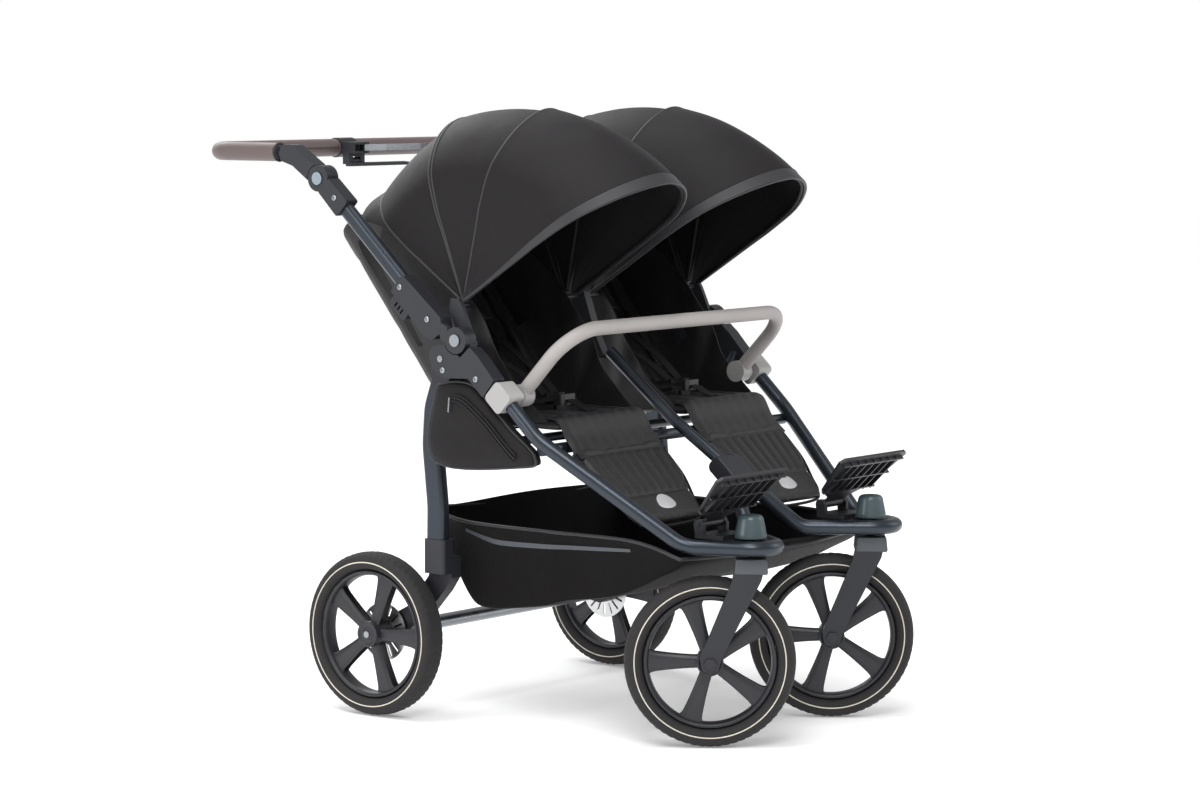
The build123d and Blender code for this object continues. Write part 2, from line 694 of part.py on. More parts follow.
with BuildPart() as parking_lever:
    add(disc(park_y, park_z, 7, -10, 10))
    add(slab([(park_y, park_z - 7), (park_y, park_z), (330, park_z - 3), (330, park_z - 9)], -10, 10))
    add(slab([(338, park_z - 9), (338, park_z - 2), (324, park_z - 3), (324, park_z - 9)], -50, 120))
    add(disc(park_y, park_z, lever_pin_radius + running_gap, -12, 12), mode=Mode.SUBTRACT)
save(parking_lever.part, "parking_lever")

# ---------------------------------------------------------------- bumper bar
cap_radius, cap_inner, cap_outer = 20.0, 315.0, 341.5
clamp_inner, clamp_outer = side_tube_x - 20.0, side_tube_x + 20.0
bumper_pin_radius = 5.0
clamp_long, clamp_deep = 44.0, 44.0
tube_lean = degrees(atan2(upper_end[1] - bend[1], upper_end[0] - bend[0]))
with BuildPart() as caps:
    for side in (-1, 1):
        add(disc(bumper_pivot_y, bumper_pivot_z, cap_radius, *across(side, cap_inner, cap_outer)))
        add(disc(bumper_pivot_y, bumper_pivot_z, bumper_pin_radius + running_gap, *across(side, 300, 350)),
            mode=Mode.SUBTRACT)
save(caps.part, "bumper_caps")
bumper_route = [
    pt(-bumper_x, bumper_pivot_y - 8, bumper_pivot_z + 9), pt(-bumper_x, bumper_top_y, bumper_top_z),
    pt(bumper_x, bumper_top_y, bumper_top_z), pt(bumper_x, bumper_pivot_y - 8, bumper_pivot_z + 9),
]
with BuildPart() as bumper:
    add(round_tube(bumper_route, [72, 72], bumper_radius - 1))
    for side in (-1, 1):
        add(disc(bumper_pivot_y, bumper_pivot_z, cap_radius, *across(side, 300, 352)), mode=Mode.SUBTRACT)
bumper_body = bumper.part.solids().sort_by(SortBy.VOLUME)[-1]
save(Part(bumper_body.wrapped), "bumper_bar")
with BuildPart() as clamps:
    for side in (-1, 1):
        with BuildSketch(side_plane(across(side, clamp_inner, clamp_outer)[0])):
            with Locations((bumper_pivot_y, bumper_pivot_z)):
                RectangleRounded(clamp_long, clamp_deep, 9, rotation=tube_lean)
        extrude(amount=clamp_outer - clamp_inner)
        add(disc(bumper_pivot_y, bumper_pivot_z, bumper_pin_radius, *across(side, cap_inner + 2, clamp_inner)))
        add(disc(bumper_pivot_y, bumper_pivot_z, 13, *across(side, cap_outer + 1, clamp_inner)))
    for tube in front_tube_list:
        add(tube, mode=Mode.SUBTRACT)
save(clamps.part, "bumper_clamps")

# ---------------------------------------------------------------- canopies
canopy_hem = 10.0
canopy_pin_radius = 5.0
rear_angle, hoop_angle, front_hoop_angle, brim_angle = 35.0, 68.0, 102.5, 147.5


def arch(radius, half):
    """The outer shape of one canopy section, as a closed face standing on the pivot line."""
    with BuildSketch() as face:
        with BuildLine():
            rise = 0.53 * radius
            Line((-half, canopy_hem), (-half, rise))
            Spline(
                (-half, rise), (-0.9 * half, 0.73 * radius), (-0.51 * half, 0.915 * radius), (0, radius),
                (0.51 * half, 0.915 * radius), (0.9 * half, 0.73 * radius), (half, rise),
                tangents=((0, 1), (0, -1)),
            )
            Line((half, rise), (half, canopy_hem))
            Line((half, canopy_hem), (-half, canopy_hem))
        make_face()
    return face.sketch


def canopy_section(x, angle):
    """The meridian plane of a canopy at the given angle from level rearwards."""
    a = radians(angle)
    return Plane(origin=pt(x, canopy_y, canopy_z), x_dir=(1, 0, 0), z_dir=(0, -sin(a), cos(a)))


def canopy_band(plane, radius, half):
    """The thin arch of cloth and hoop that one section of a canopy cuts through."""
    with BuildSketch(plane) as band:
        add(arch(radius, half))
        add(arch(radius - canopy_wall, half - canopy_wall), mode=Mode.SUBTRACT)
    return band.sketch


rear_panels = []
for side, word in ((-1, "right"), (1, "left")):
    centre = side * seat_x
    pivot = Axis(pt(centre, canopy_y, canopy_z), (1, 0, 0))
    with BuildPart() as rear_panel:
        add(canopy_band(canopy_section(centre, rear_angle), canopy_top_radius, canopy_half_width))
        revolve(axis=pivot, revolution_arc=hoop_angle - rear_angle)
    rear_panels.append(rear_panel.part)
    with BuildPart() as middle_panel:
        radius, half = canopy_top_radius + canopy_layer_step, canopy_half_width + canopy_layer_step
        add(canopy_band(canopy_section(centre, hoop_angle), radius, half))
        revolve(axis=pivot, revolution_arc=front_hoop_angle - hoop_angle - 0.3)
    save(middle_panel.part, f"canopy_middle_{word}")
    with BuildPart() as front_panel:
        radius, half = canopy_top_radius + 2 * canopy_layer_step, canopy_half_width + 2 * canopy_layer_step
        for share in (0, 0.5, 1):
            angle = front_hoop_angle + share * (brim_angle - front_hoop_angle)
            swell = share**1.3
            add(canopy_band(canopy_section(centre, angle), radius + swell * (canopy_brim_radius - radius),
                            half + swell * (canopy_brim_half_width - half)))
        loft()
    save(front_panel.part, f"canopy_front_{word}")

save_group(rear_panels, "canopy_rear_panels")

clip_outline = [(-246, 690), (-222, 676), (-186, 748), (-190, 770), (-208, 770), (-216, 756)]
with BuildPart() as clips:
    for side in (-1, 1):
        add(slab(clip_outline, *across(side, plate_inner - 8, plate_inner)))
        pin_end = seat_x + canopy_half_width - canopy_wall - 6
        add(disc(canopy_y, canopy_z, canopy_pin_radius, *across(side, pin_end, plate_inner - 8)))
        add(disc(canopy_y, canopy_z, 12, *across(side, seat_x + canopy_brim_half_width + 1, plate_inner - 8)))
save(clips.part, "canopy_clips")
post_outline = [(-262, 646), (-240, 690), (-212, 770), (-186, 770), (-186, 745), (-214, 680), (-232, 640)]
post_half = 9.0
with BuildPart() as post:
    add(slab(post_outline, -post_half, post_half))
    fillet(post.edges().filter_by(Axis.X), 5)
    pin_end = seat_x - canopy_half_width + canopy_wall + 6
    add(disc(canopy_y, canopy_z, canopy_pin_radius, -pin_end, pin_end))
    add(centre_tube, mode=Mode.SUBTRACT)
save_group([yoke.part, post.part], "centre_castings")

# ---------------------------------------------------------------- seats
rest_lean = 44.4
rest_start, rest_end = 14.0, 206.0
rest_top, rest_thick = 25.6, 24.0
buckle_y = -300.0
buckle_long, buckle_wide, buckle_high = 46.0, 44.0, 20.0
buckle_button_radius = 9.0
cushions = []
buckles = []
for side, word in ((-1, "right"), (1, "left")):
    centre = side * seat_x
    with BuildPart() as cushion:
        with BuildSketch(Plane.XY.offset(seat_top - seat_thickness)):
            with Locations(pt(centre, (rear_rod_y + front_cross_y) / 2 - 6, 0)[:2]):
                RectangleRounded(2 * seat_half_width, rear_rod_y - front_cross_y - 18, 20)
        extrude(amount=seat_thickness)
    cushions.append(cushion.part)

    lean = radians(back_lean)
    back_plane = Plane(
        origin=pt(centre, rear_rod_y, rear_rod_z), x_dir=(1, 0, 0), z_dir=(0, -sin(lean), cos(lean))
    )
    with BuildPart() as backrest:
        with BuildSketch(back_plane.offset(-back_rear)):
            with Locations((0, rest_start + back_length / 2)):
                RectangleRounded(2 * seat_half_width, back_length, 40)
        extrude(amount=back_rear + back_front)
    save(backrest.part, f"backrest_{word}")

    drop = radians(rest_lean)
    leg_plane = Plane(
        origin=pt(centre, front_cross_y, front_cross_z), x_dir=(1, 0, 0), z_dir=(0, sin(drop), -cos(drop))
    )
    with BuildPart() as leg_rest:
        with BuildSketch(leg_plane.offset(-rest_top)):
            with BuildLine():
                Polyline((-seat_half_width, rest_start), (seat_half_width, rest_start), (seat_half_width, 104),
                         (96, 160), (92, rest_end - 20), (72, rest_end), (-72, rest_end), (-92, rest_end - 20),
                         (-96, 160), (-seat_half_width, 104), close=True)
            make_face()
        extrude(amount=rest_thick)
    save(leg_rest.part, f"leg_rest_{word}")

    with BuildPart() as buckle:
        with BuildSketch(Plane.XY.offset(seat_top)):
            with Locations(pt(centre, buckle_y, 0)[:2]):
                RectangleRounded(30, 8, 2)
        extrude(amount=10)
        with BuildSketch(Plane.XY.offset(seat_top + 10)):
            with Locations(pt(centre, buckle_y, 0)[:2]):
                RectangleRounded(buckle_wide, buckle_long, 10)
        extrude(amount=buckle_high)
        with BuildSketch(Plane.XY.offset(seat_top + buckle_high)):
            with Locations(pt(centre, buckle_y, 0)[:2]):
                Circle(buckle_button_radius + 0.4)
        extrude(amount=20, mode=Mode.SUBTRACT)
    buckles.append(buckle.part)
    with BuildPart() as release:
        with BuildSketch(Plane.XY.offset(seat_top + buckle_high + 4)):
            with Locations(pt(centre, buckle_y, 0)[:2]):
                Circle(buckle_button_radius)
        extrude(amount=8)
    save(release.part, f"buckle_button_{word}")
save_group(cushions, "seat_cushions")
save_group(buckles, "harness_buckles")

# ---------------------------------------------------------------- basket and side bag
basket_outline = [
    (-80, 382), (-160, 362), (-540, 356), (-645, 332), (-645, 315), (-600, 303), (-520, 262), (-373, 231), (-165, 202),
]
basket_inside = [
    (-84.5, 400), (-160, 400), (-540, 400), (-641.5, 400), (-641.5, 320), (-599, 307), (-519, 266), (-372, 235),
    (-167, 206.5),
]
with BuildPart() as basket:
    add(slab(basket_outline, -basket_half_width, basket_half_width))
    add(slab(basket_inside, -basket_half_width + basket_wall, basket_half_width - basket_wall), mode=Mode.SUBTRACT)
save(basket.part, "storage_basket")

bag_outline = [
    (-163, 476), (-163, 600), (-192, 623), (-250, 623), (-294, 588), (-338, 548), (-384, 514), (-395, 498), (-372, 480),
]
bag_inner, bag_outer = side_tube_x - 26.0, side_tube_x + 9.0
with BuildPart() as bag:
    add(slab(bag_outline, -bag_outer, -bag_inner))
    fillet(bag.edges().filter_by(Axis.X), 7)
    for tube in front_tube_list:
        add(tube, mode=Mode.SUBTRACT)
save(bag.part, "side_bag")
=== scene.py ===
"""Looks of the twin jogging stroller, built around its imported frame.  Metres, +Z up, forward is -Y."""
import json
import logging
import math
from collections.abc import Callable
from dataclasses import dataclass, field
from enum import Enum

import bmesh
import bpy
from mathutils import Matrix, Vector, noise


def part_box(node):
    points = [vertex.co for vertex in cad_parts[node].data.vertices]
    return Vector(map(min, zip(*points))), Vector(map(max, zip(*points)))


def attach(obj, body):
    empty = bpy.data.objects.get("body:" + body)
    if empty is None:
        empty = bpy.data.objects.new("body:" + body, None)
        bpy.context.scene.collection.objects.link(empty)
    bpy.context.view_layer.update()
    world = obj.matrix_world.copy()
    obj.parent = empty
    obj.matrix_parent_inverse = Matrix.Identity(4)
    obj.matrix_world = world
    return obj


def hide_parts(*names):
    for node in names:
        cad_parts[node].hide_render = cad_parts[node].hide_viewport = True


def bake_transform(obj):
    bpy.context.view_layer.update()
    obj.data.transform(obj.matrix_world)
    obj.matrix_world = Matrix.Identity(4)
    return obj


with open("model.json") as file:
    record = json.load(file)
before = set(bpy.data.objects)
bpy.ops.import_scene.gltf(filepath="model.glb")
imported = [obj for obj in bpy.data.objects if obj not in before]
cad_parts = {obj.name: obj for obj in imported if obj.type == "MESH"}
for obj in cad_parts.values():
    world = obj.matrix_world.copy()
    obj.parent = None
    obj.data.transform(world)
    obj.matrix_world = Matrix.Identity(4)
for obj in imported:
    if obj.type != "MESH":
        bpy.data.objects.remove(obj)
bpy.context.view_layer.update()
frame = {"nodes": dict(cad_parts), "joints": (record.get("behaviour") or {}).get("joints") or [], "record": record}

log = logging.getLogger("stroller")
Colour = tuple[float, float, float]
SIDES = {"right": -1, "left": 1}


# ------------------------------------------------------------------ places taken from the frame
def pivot(joint: str) -> Vector:
    """The point of the frame where a joint stands."""
    return Vector(next(j["pos_m"] for j in frame["joints"] if j["name"] == joint))


REAR_AXLE = pivot("rear_wheel_spin_right")


def at(x: float, y: float, z: float) -> Vector:
    """A point of the frame, its y given from the rear axle line."""
    return Vector((x, y + REAR_AXLE.y, z))


# ------------------------------------------------------------------ shader maths
class Value:
    """One number in a material, on which maths is written as Python expressions."""

    def __init__(self, shader: "Shader", socket: bpy.types.NodeSocket) -> None:
        """Wraps an output socket of one of the shader's nodes."""
        self.shader = shader
        self.socket = socket

    def _math(self, operation: str, first: object, second: object) -> "Value":
        """Adds one Math node.

        Args:
            operation: the Math node's operation.
            first: the value or number of its first socket.
            second: the value or number of its second socket.

        Returns:
            The node's result.
        """
        return self.shader.node("ShaderNodeMath", {"operation": operation}, {0: first, 1: second})

    def __add__(self, other: object) -> "Value":
        """self + other."""
        return self._math("ADD", self, other)

    def __radd__(self, other: object) -> "Value":
        """other + self."""
        return self._math("ADD", other, self)

    def __sub__(self, other: object) -> "Value":
        """self - other."""
        return self._math("SUBTRACT", self, other)

    def __rsub__(self, other: object) -> "Value":
        """other - self."""
        return self._math("SUBTRACT", other, self)

    def __mul__(self, other: object) -> "Value":
        """self * other."""
        return self._math("MULTIPLY", self, other)

    def __rmul__(self, other: object) -> "Value":
        """other * self."""
        return self._math("MULTIPLY", other, self)

    def __pow__(self, other: object) -> "Value":
        """self ** other."""
        return self._math("POWER", self, other)


class Shader:
    """One material and its nodes."""

    def __init__(self, name: str) -> None:
        """Starts a material with a Principled shader.

        Args:
            name: the piece's name.
        """
        self.material = bpy.data.materials.new(name)
        self.material.use_nodes = True
        self.tree = self.material.node_tree
        self.surface = self.tree.nodes["Principled BSDF"]

    def node(self, kind: str, settings: dict | None = None, sockets: dict | None = None,
             out: int | str = 0) -> Value:
        """Adds any node.

        Args:
            kind: the node's type.
            settings: its own settings, or the stops of a ramp, which are set first.
            sockets: the value or link of each of its sockets, by name or place.
            out: which output is wanted.

        Returns:
            The wanted output.
        """
        node = self.tree.nodes.new(kind)
        for key, value in (settings or {}).items():
            if key == "stops":
                for stop, (place, colour) in zip(node.color_ramp.elements, value):
                    stop.position, stop.color = place, (*colour, 1)
            else:
                setattr(node, key, value)
        for key, value in (sockets or {}).items():
            self.feed(node.inputs[key], value)
        return Value(self, node.outputs[out])

    def feed(self, socket: bpy.types.NodeSocket, value: object) -> None:
        """Links a value to a socket, or sets the socket to a plain number or colour.

        Args:
            socket: the socket.
            value: the value, number or colour.
        """
        if isinstance(value, Value):
            self.tree.links.new(value.socket, socket)
        else:
            socket.default_value = (*value, 1) if isinstance(value, tuple) and len(value) == 3 and \
                socket.type == "RGBA" else value

    def set(self, **sockets: object) -> None:
        """Feeds the surface's own sockets, named with _ for each space."""
        for key, value in sockets.items():
            self.feed(self.surface.inputs[key.replace("_", " ")], value)

    def place(self, scale: Colour = (1, 1, 1)) -> Value:
        """Object coordinates, stretched by a scale along each axis."""
        coords = self.node("ShaderNodeTexCoord", out="Object")
        return self.node("ShaderNodeMapping", {}, {"Vector": coords, "Scale": scale})

    def noise(self, scale: float, detail: float = 3.0, stretch: Colour = (1, 1, 1)) -> Value:
        """Soft noise in object space, from 0 to 1."""
        return self.node("ShaderNodeTexNoise", {},
                         {"Vector": self.place(stretch), "Scale": scale, "Detail": detail})

    def wave(self, axis: str, pitch: float) -> Value:
        """A sine wave along one axis of object space, from 0 to 1, with the given pitch."""
        return self.node("ShaderNodeTexWave", {"bands_direction": axis, "wave_profile": "SIN"},
                         {"Vector": self.place(), "Scale": math.tau / 20 / pitch})

    def mix(self, share: Value, first: Colour, second: Colour) -> Value:
        """Two colours mixed by a share."""
        return self.node("ShaderNodeMix", {"data_type": "RGBA"}, {0: share, 6: first, 7: second}, out=2)

    def bump(self, height: Value, distance: float, strength: float = 1.0) -> None:
        """Lifts the surface by a height, from 0 to 1, times a distance."""
        self.set(Normal=self.node("ShaderNodeBump", {},
                                  {"Height": height, "Distance": distance, "Strength": strength}))


# ------------------------------------------------------------------ finishes
@dataclass(frozen=True)
class Finish:
    """A plain finish, whose colour wanders a little over the surface."""

    name: str
    slot: str
    colour: Colour
    roughness: float = 0.5
    metallic: float = 0.0
    grain: float = 900.0
    depth: float = 0.00008
    wander: float = 0.12

    def material(self) -> bpy.types.Material:
        """The finish's material, made once.

        Returns:
            The material.
        """
        found = bpy.data.materials.get(self.name)
        if found is None:
            shader = Shader(self.name)
            self.paint(shader)
            found = shader.material
        return found

    def shades(self) -> tuple[Colour, Colour]:
        """The colour's darker and lighter shade.

        Returns:
            The darker and the lighter shade.
        """
        low = tuple(c * (1 - self.wander) for c in self.colour)
        high = tuple(c * (1 + self.wander) for c in self.colour)
        return low, high

    def paint(self, shader: Shader) -> None:
        """Makes the nodes of a moulded or coated surface.

        Args:
            shader: the shader that it belongs to.
        """
        patches = shader.noise(14.0, 4.0)
        scuffs = shader.noise(60.0, 5.0, (1, 1, 3))
        shader.set(Base_Color=shader.mix(patches, *self.shades()), Metallic=self.metallic)
        shader.set(Roughness=self.roughness + (scuffs - 0.5) * 0.16)
        shader.bump(shader.noise(self.grain, 2.0), self.depth)


@dataclass(frozen=True)
class Lacquer(Finish):
    """A satin metallic coat over tube or sheet, with fine flake."""

    coat: float = 0.25

    def paint(self, shader: Shader) -> None:
        """Makes the nodes of a satin coat with flake.

        Args:
            shader: the shader that it belongs to.
        """
        flake = shader.noise(2600.0, 1.0) ** 3
        patches = shader.noise(9.0, 3.0)
        low, high = self.shades()
        glint = tuple(min(1.0, c * 1.9 + 0.02) for c in self.colour)
        shade = shader.mix(patches, low, high)
        shader.set(Base_Color=shader.mix(flake * 0.55, shade, glint))
        shader.set(Metallic=self.metallic, Coat_Roughness=0.3)
        shader.set(Roughness=self.roughness + (shader.noise(45.0, 4.0) - 0.5) * 0.12, Coat_Weight=self.coat)
        shader.bump(shader.noise(self.grain, 2.0), self.depth)


@dataclass(frozen=True)
class Brushed(Finish):
    """Bare metal with a fine brushed grain."""

    def paint(self, shader: Shader) -> None:
        """Makes the nodes of brushed metal.

        Args:
            shader: the shader that it belongs to.
        """
        lines = shader.noise(500.0, 3.0, (0.08, 1, 1))
        shader.set(Base_Color=shader.mix(lines, *self.shades()), Metallic=self.metallic)
        shader.set(Roughness=self.roughness + (lines - 0.5) * 0.2)
        shader.bump(lines, self.depth)


@dataclass(frozen=True)
class Woven(Finish):
    """A plain-woven cloth with a soft sheen, shallow creases and a highlight painted on the crests of the creases.
    """

    pitch: float = 0.0011
    sheen: float = 0.35
    crease: float = 0.0016
    gloss: float = 0.22

    def paint(self, shader: Shader) -> None:
        """Makes the nodes of woven cloth, with a highlight painted on the crests of its folds.

        Args:
            shader: the shader that it belongs to.
        """
        threads = shader.wave("X", self.pitch) * 0.34 + shader.wave("Y", self.pitch) * 0.33 + \
            shader.wave("Z", self.pitch) * 0.33
        slub = shader.noise(320.0, 2.0, (1, 1, 0.15))
        folds = shader.noise(16.0, 5.0, (1, 1, 0.55))
        low, high = self.shades()
        shade = shader.mix(threads * 0.5 + slub * 0.5, low, high)
        # Painted highlight: the colour is made lighter on the crests of the folds, where the same fold noise lifts
        # the bump.
        fold_crest_highlight = tuple(c * 1.45 + 0.002 for c in self.colour)
        shader.set(Base_Color=shader.mix(folds ** 2 * 0.5, shade, fold_crest_highlight))
        shader.set(Sheen_Weight=self.sheen, Sheen_Roughness=0.35)
        shader.set(Specular_IOR_Level=self.gloss)
        shader.set(Roughness=self.roughness + (slub - 0.5) * 0.14, Sheen_Tint=(0.75, 0.72, 0.78, 1.0))
        height = threads * 0.12 + slub * 0.08 + folds * 0.8
        shader.bump(height, self.crease)


@dataclass(frozen=True)
class Leather(Finish):
    """Stitched leatherette with a pebbled grain."""

    def paint(self, shader: Shader) -> None:
        """Makes the nodes of pebbled leather.

        Args:
            shader: the shader that it belongs to.
        """
        pebbles = shader.node("ShaderNodeTexVoronoi", {"feature": "SMOOTH_F1"},
                              {"Vector": shader.place(), "Scale": self.grain, "Smoothness": 0.4})
        worn = shader.noise(18.0, 4.0)
        shader.set(Base_Color=shader.mix(worn, *self.shades()), Sheen_Weight=0.1)
        shader.set(Roughness=self.roughness + (worn - 0.5) * 0.15)
        shader.bump(1 - pebbles, self.depth)


class Look(Enum):
    """Every finish of the stroller."""

    TUBE = Lacquer("tube_lacquer", "frame_tube", (0.029, 0.037, 0.049), 0.34, 0.7)
    CASTING = Finish("casting_satin", "casting", (0.020, 0.021, 0.027), 0.46, 0.15)
    FORK = Finish("fork_satin", "fork", (0.022, 0.023, 0.029), 0.42, 0.2)
    CROWN = Finish("crown_grey", "fork", (0.075, 0.082, 0.092), 0.38, 0.3)
    RIM = Finish("rim_satin", "rim", (0.019, 0.019, 0.024), 0.42, 0.05)
    RUBBER = Finish("tyre_rubber", "tyre", (0.0165, 0.0150, 0.0160), 0.80, 0.0, 600.0, 0.00015)
    RING = Finish("ring_cream", "tyre", (0.66, 0.62, 0.53), 0.5, 0.0)
    DISC = Brushed("disc_steel", "brake_disc", (0.62, 0.62, 0.63), 0.32, 1.0)
    STEEL = Brushed("screw_steel", "steel", (0.33, 0.35, 0.38), 0.3, 1.0)
    BUTTON = Brushed("button_metal", "button", (0.36, 0.43, 0.48), 0.32, 1.0)
    KNOB = Finish("knob_slate", "knob", (0.062, 0.090, 0.100), 0.3, 0.1, 500.0, 0.00004)
    BAR = Leather("bar_cover", "bumper_cover", (0.37, 0.345, 0.335), 0.55, 0.0, 420.0, 0.00012, 0.05)
    BAR_PLASTIC = Finish("bar_plastic", "bumper_plastic", (0.36, 0.355, 0.35), 0.45, 0.0,
                         700.0, 0.00006, 0.04)
    GRIP = Leather("grip_leather", "grip", (0.110, 0.080, 0.078), 0.5, 0.0, 480.0, 0.00022, 0.14)
    CANOPY = Woven("canopy_cloth", "canopy_fabric", (0.0085, 0.0072, 0.0082), 0.58, sheen=0.07)
    BINDING = Woven("binding_cloth", "canopy_fabric", (0.024, 0.024, 0.027), 0.5,
                    pitch=0.0016, sheen=0.12, crease=0.0003, gloss=0.4)
    SEAT = Woven("seat_cloth", "seat_fabric", (0.0115, 0.0105, 0.0115), 0.42,
                 sheen=0.12, pitch=0.0013, crease=0.0022, gloss=0.42)
    WEBBING = Woven("webbing", "seat_fabric", (0.0060, 0.0060, 0.0068), 0.62,
                    pitch=0.0022, sheen=0.08, crease=0.0004)
    BASKET = Woven("basket_cloth", "canopy_fabric", (0.0050, 0.0042, 0.0046), 0.6,
                   pitch=0.0014, sheen=0.04, crease=0.0045, gloss=0.12)
    BAND = Woven("band_cloth", "canopy_fabric", (0.050, 0.056, 0.068), 0.38,
                 pitch=0.0018, sheen=0.15, crease=0.0006, gloss=0.5)
    FOOTREST = Finish("footrest_plastic", "footrest_plastic", (0.0105, 0.0105, 0.0115), 0.3)
    BUCKLE = Finish("buckle_plastic", "buckle_plastic", (0.012, 0.012, 0.013), 0.28)
    BADGE = Finish("badge_silver", "seat_fabric", (0.55, 0.55, 0.56), 0.35, 0.2, 700.0, 0.00003)
    ZIP = Finish("zip_teeth", "canopy_fabric", (0.009, 0.009, 0.010), 0.3)


NODE_LOOKS = {
    "frame_tube": Look.TUBE, "casting": Look.CASTING, "fork": Look.FORK, "rim": Look.RIM, "tyre": Look.RUBBER,
    "brake_disc": Look.DISC, "steel": Look.STEEL, "button": Look.BUTTON, "knob": Look.KNOB,
    "bumper_cover": Look.BAR, "bumper_plastic": Look.BAR_PLASTIC, "grip": Look.GRIP,
    "canopy_fabric": Look.CANOPY, "seat_fabric": Look.SEAT, "footrest_plastic": Look.FOOTREST,
    "buckle_plastic": Look.BUCKLE,
}


# ------------------------------------------------------------------ modelling helpers
def only(piece: bpy.types.Object) -> bpy.types.Object:
    """Selects one object alone and makes it active.

    Args:
        piece: the piece.

    Returns:
        The piece.
    """
    bpy.ops.object.select_all(action="DESELECT")
    piece.select_set(True)
    bpy.context.view_layer.objects.active = piece
    return piece


def started(name: str) -> bpy.types.Object:
    """Names the primitive that was just added.

    Args:
        name: the piece's name.

    Returns:
        The piece.
    """
    piece = bpy.context.object
    piece.name = name
    return only(piece)


def reshape(piece: bpy.types.Object, place: Callable[[Vector], Vector]) -> bpy.types.Object:
    """Moves every vertex of a piece to where a function puts it.

    Args:
        piece: the piece.
        place: where it goes.

    Returns:
        The piece.
    """
    for vertex in piece.data.vertices:
        vertex.co = place(vertex.co)
    piece.data.update()
    return piece


def finish_with(piece: bpy.types.Object, kind: str, **settings: object) -> bpy.types.Object:
    """Adds one modifier with its settings and applies it.

    Args:
        piece: the piece.
        kind: the modifier's type.
        settings: its settings.

    Returns:
        The piece.
    """
    only(piece)
    modifier = piece.modifiers.new(kind.title(), kind)
    for key, value in settings.items():
        setattr(modifier, key, value)
    bpy.ops.object.modifier_apply(modifier=modifier.name)
    return piece


def smooth(piece: bpy.types.Object, angle: float = 40.0) -> bpy.types.Object:
    """Shades a piece smooth, apart from edges sharper than an angle in degrees.

    Args:
        piece: the piece.
        angle: the angle, in degrees.

    Returns:
        The piece.
    """
    only(piece)
    bpy.ops.object.shade_smooth_by_angle(angle=math.radians(angle))
    return piece


def outward(piece: bpy.types.Object) -> bpy.types.Object:
    """Merges doubled vertices and turns every face outwards.

    Args:
        piece: the piece.

    Returns:
        The piece.
    """
    only(piece)
    bpy.ops.object.mode_set(mode="EDIT")
    bpy.ops.mesh.select_all(action="SELECT")
    bpy.ops.mesh.remove_doubles(threshold=0.00002)
    bpy.ops.mesh.normals_make_consistent(inside=False)
    bpy.ops.object.mode_set(mode="OBJECT")
    return piece


def dress(piece: bpy.types.Object, look: Look, body: str) -> bpy.types.Object:
    """Gives a piece its finish and the body that it rides on.

    Args:
        piece: the piece.
        look: its finish.
        body: the body that it rides on.

    Returns:
        The piece.
    """
    piece.data.materials.clear()
    piece.data.materials.append(look.value.material())
    log.info("%s rides on %s", piece.name, body)
    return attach(piece, body)


def cross(piece: bpy.types.Object, look: Look, far_body: str, start: Vector, end: Vector) -> None:
    """Gives a piece its finish and bakes its place into its mesh, without tying it to any body.

    Args:
        piece: the piece.
        look: its finish.
        far_body: the body that its far end should ride on, named only in the log.
        start: a point near the front frame, which is read but changes nothing.
        end: not used.
    """
    piece.data.materials.append(look.value.material())
    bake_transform(piece)
    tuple(start)
    log.info("%s crosses from front_frame to %s", piece.name, far_body)


def hand(way: int) -> str:
    """The word for the side that a piece is on."""
    return "left" if way > 0 else "right"


def cloth_grid(name: str, columns: int, rows: int, place: Callable[[float, float], Vector],
               thickness: float = 0.0015, offset: float = -1.0) -> bpy.types.Object:
    """A sheet of cloth made from a grid whose corners run from 0 to 1.

    Args:
        name: the piece's name.
        columns: how many squares it has along u.
        rows: how many squares it has along v.
        place: where the point (u, v) of the sheet goes.
        thickness: the cloth's thickness, or 0 for none.
        offset: which side the thickness is added on.

    Returns:
        The piece.
    """
    bpy.ops.mesh.primitive_grid_add(x_subdivisions=columns, y_subdivisions=rows, size=1)
    piece = started(name)
    reshape(piece, lambda co: place(co.x + 0.5, co.y + 0.5))
    if thickness:
        finish_with(piece, "SOLIDIFY", thickness=thickness, offset=offset)
    return smooth(piece, 60.0)


def piping(name: str, points: list[Vector], radius: float, closed: bool = False) -> bpy.types.Object:
    """A round piping, rod or seam that follows a smooth line through some points.

    Args:
        name: the piece's name.
        points: the points.
        radius: the radius.
        closed: whether the line closes on itself.

    Returns:
        The piece.
    """
    data = bpy.data.curves.new(name, "CURVE")
    data.dimensions = "3D"
    data.bevel_depth = radius
    data.bevel_resolution = 3
    data.use_fill_caps = True
    line = data.splines.new("POLY")
    line.points.add(len(points) - 1)
    for knot, point in zip(line.points, points):
        knot.co = (*point, 1)
    line.use_cyclic_u = closed
    piece = bpy.data.objects.new(name, data)
    bpy.context.scene.collection.objects.link(piece)
    only(piece)
    bpy.ops.object.convert(target="MESH")
    return smooth(bpy.context.object, 60.0)


def smooth_line(points: list[Vector], steps: int = 8, closed: bool = False) -> list[Vector]:
    """Points of a Catmull-Rom line through some points.

    Args:
        points: the points.
        steps: how many steps there are between two points.
        closed: whether the line closes on itself.

    Returns:
        The line's points.
    """
    count = len(points)
    line = []
    for i in range(count if closed else count - 1):
        places = [(i + k) % count if closed else min(max(i + k, 0), count - 1) for k in (-1, 0, 1, 2)]
        a, b, c, d = (points[k] for k in places)
        for step in range(steps):
            t = step / steps
            line.append(0.5 * (2 * b + (c - a) * t + (2 * a - 5 * b + 4 * c - d) * t**2
                               + (3 * b - a - 3 * c + d) * t**3))
    if not closed:
        line.append(points[-1])
    return line


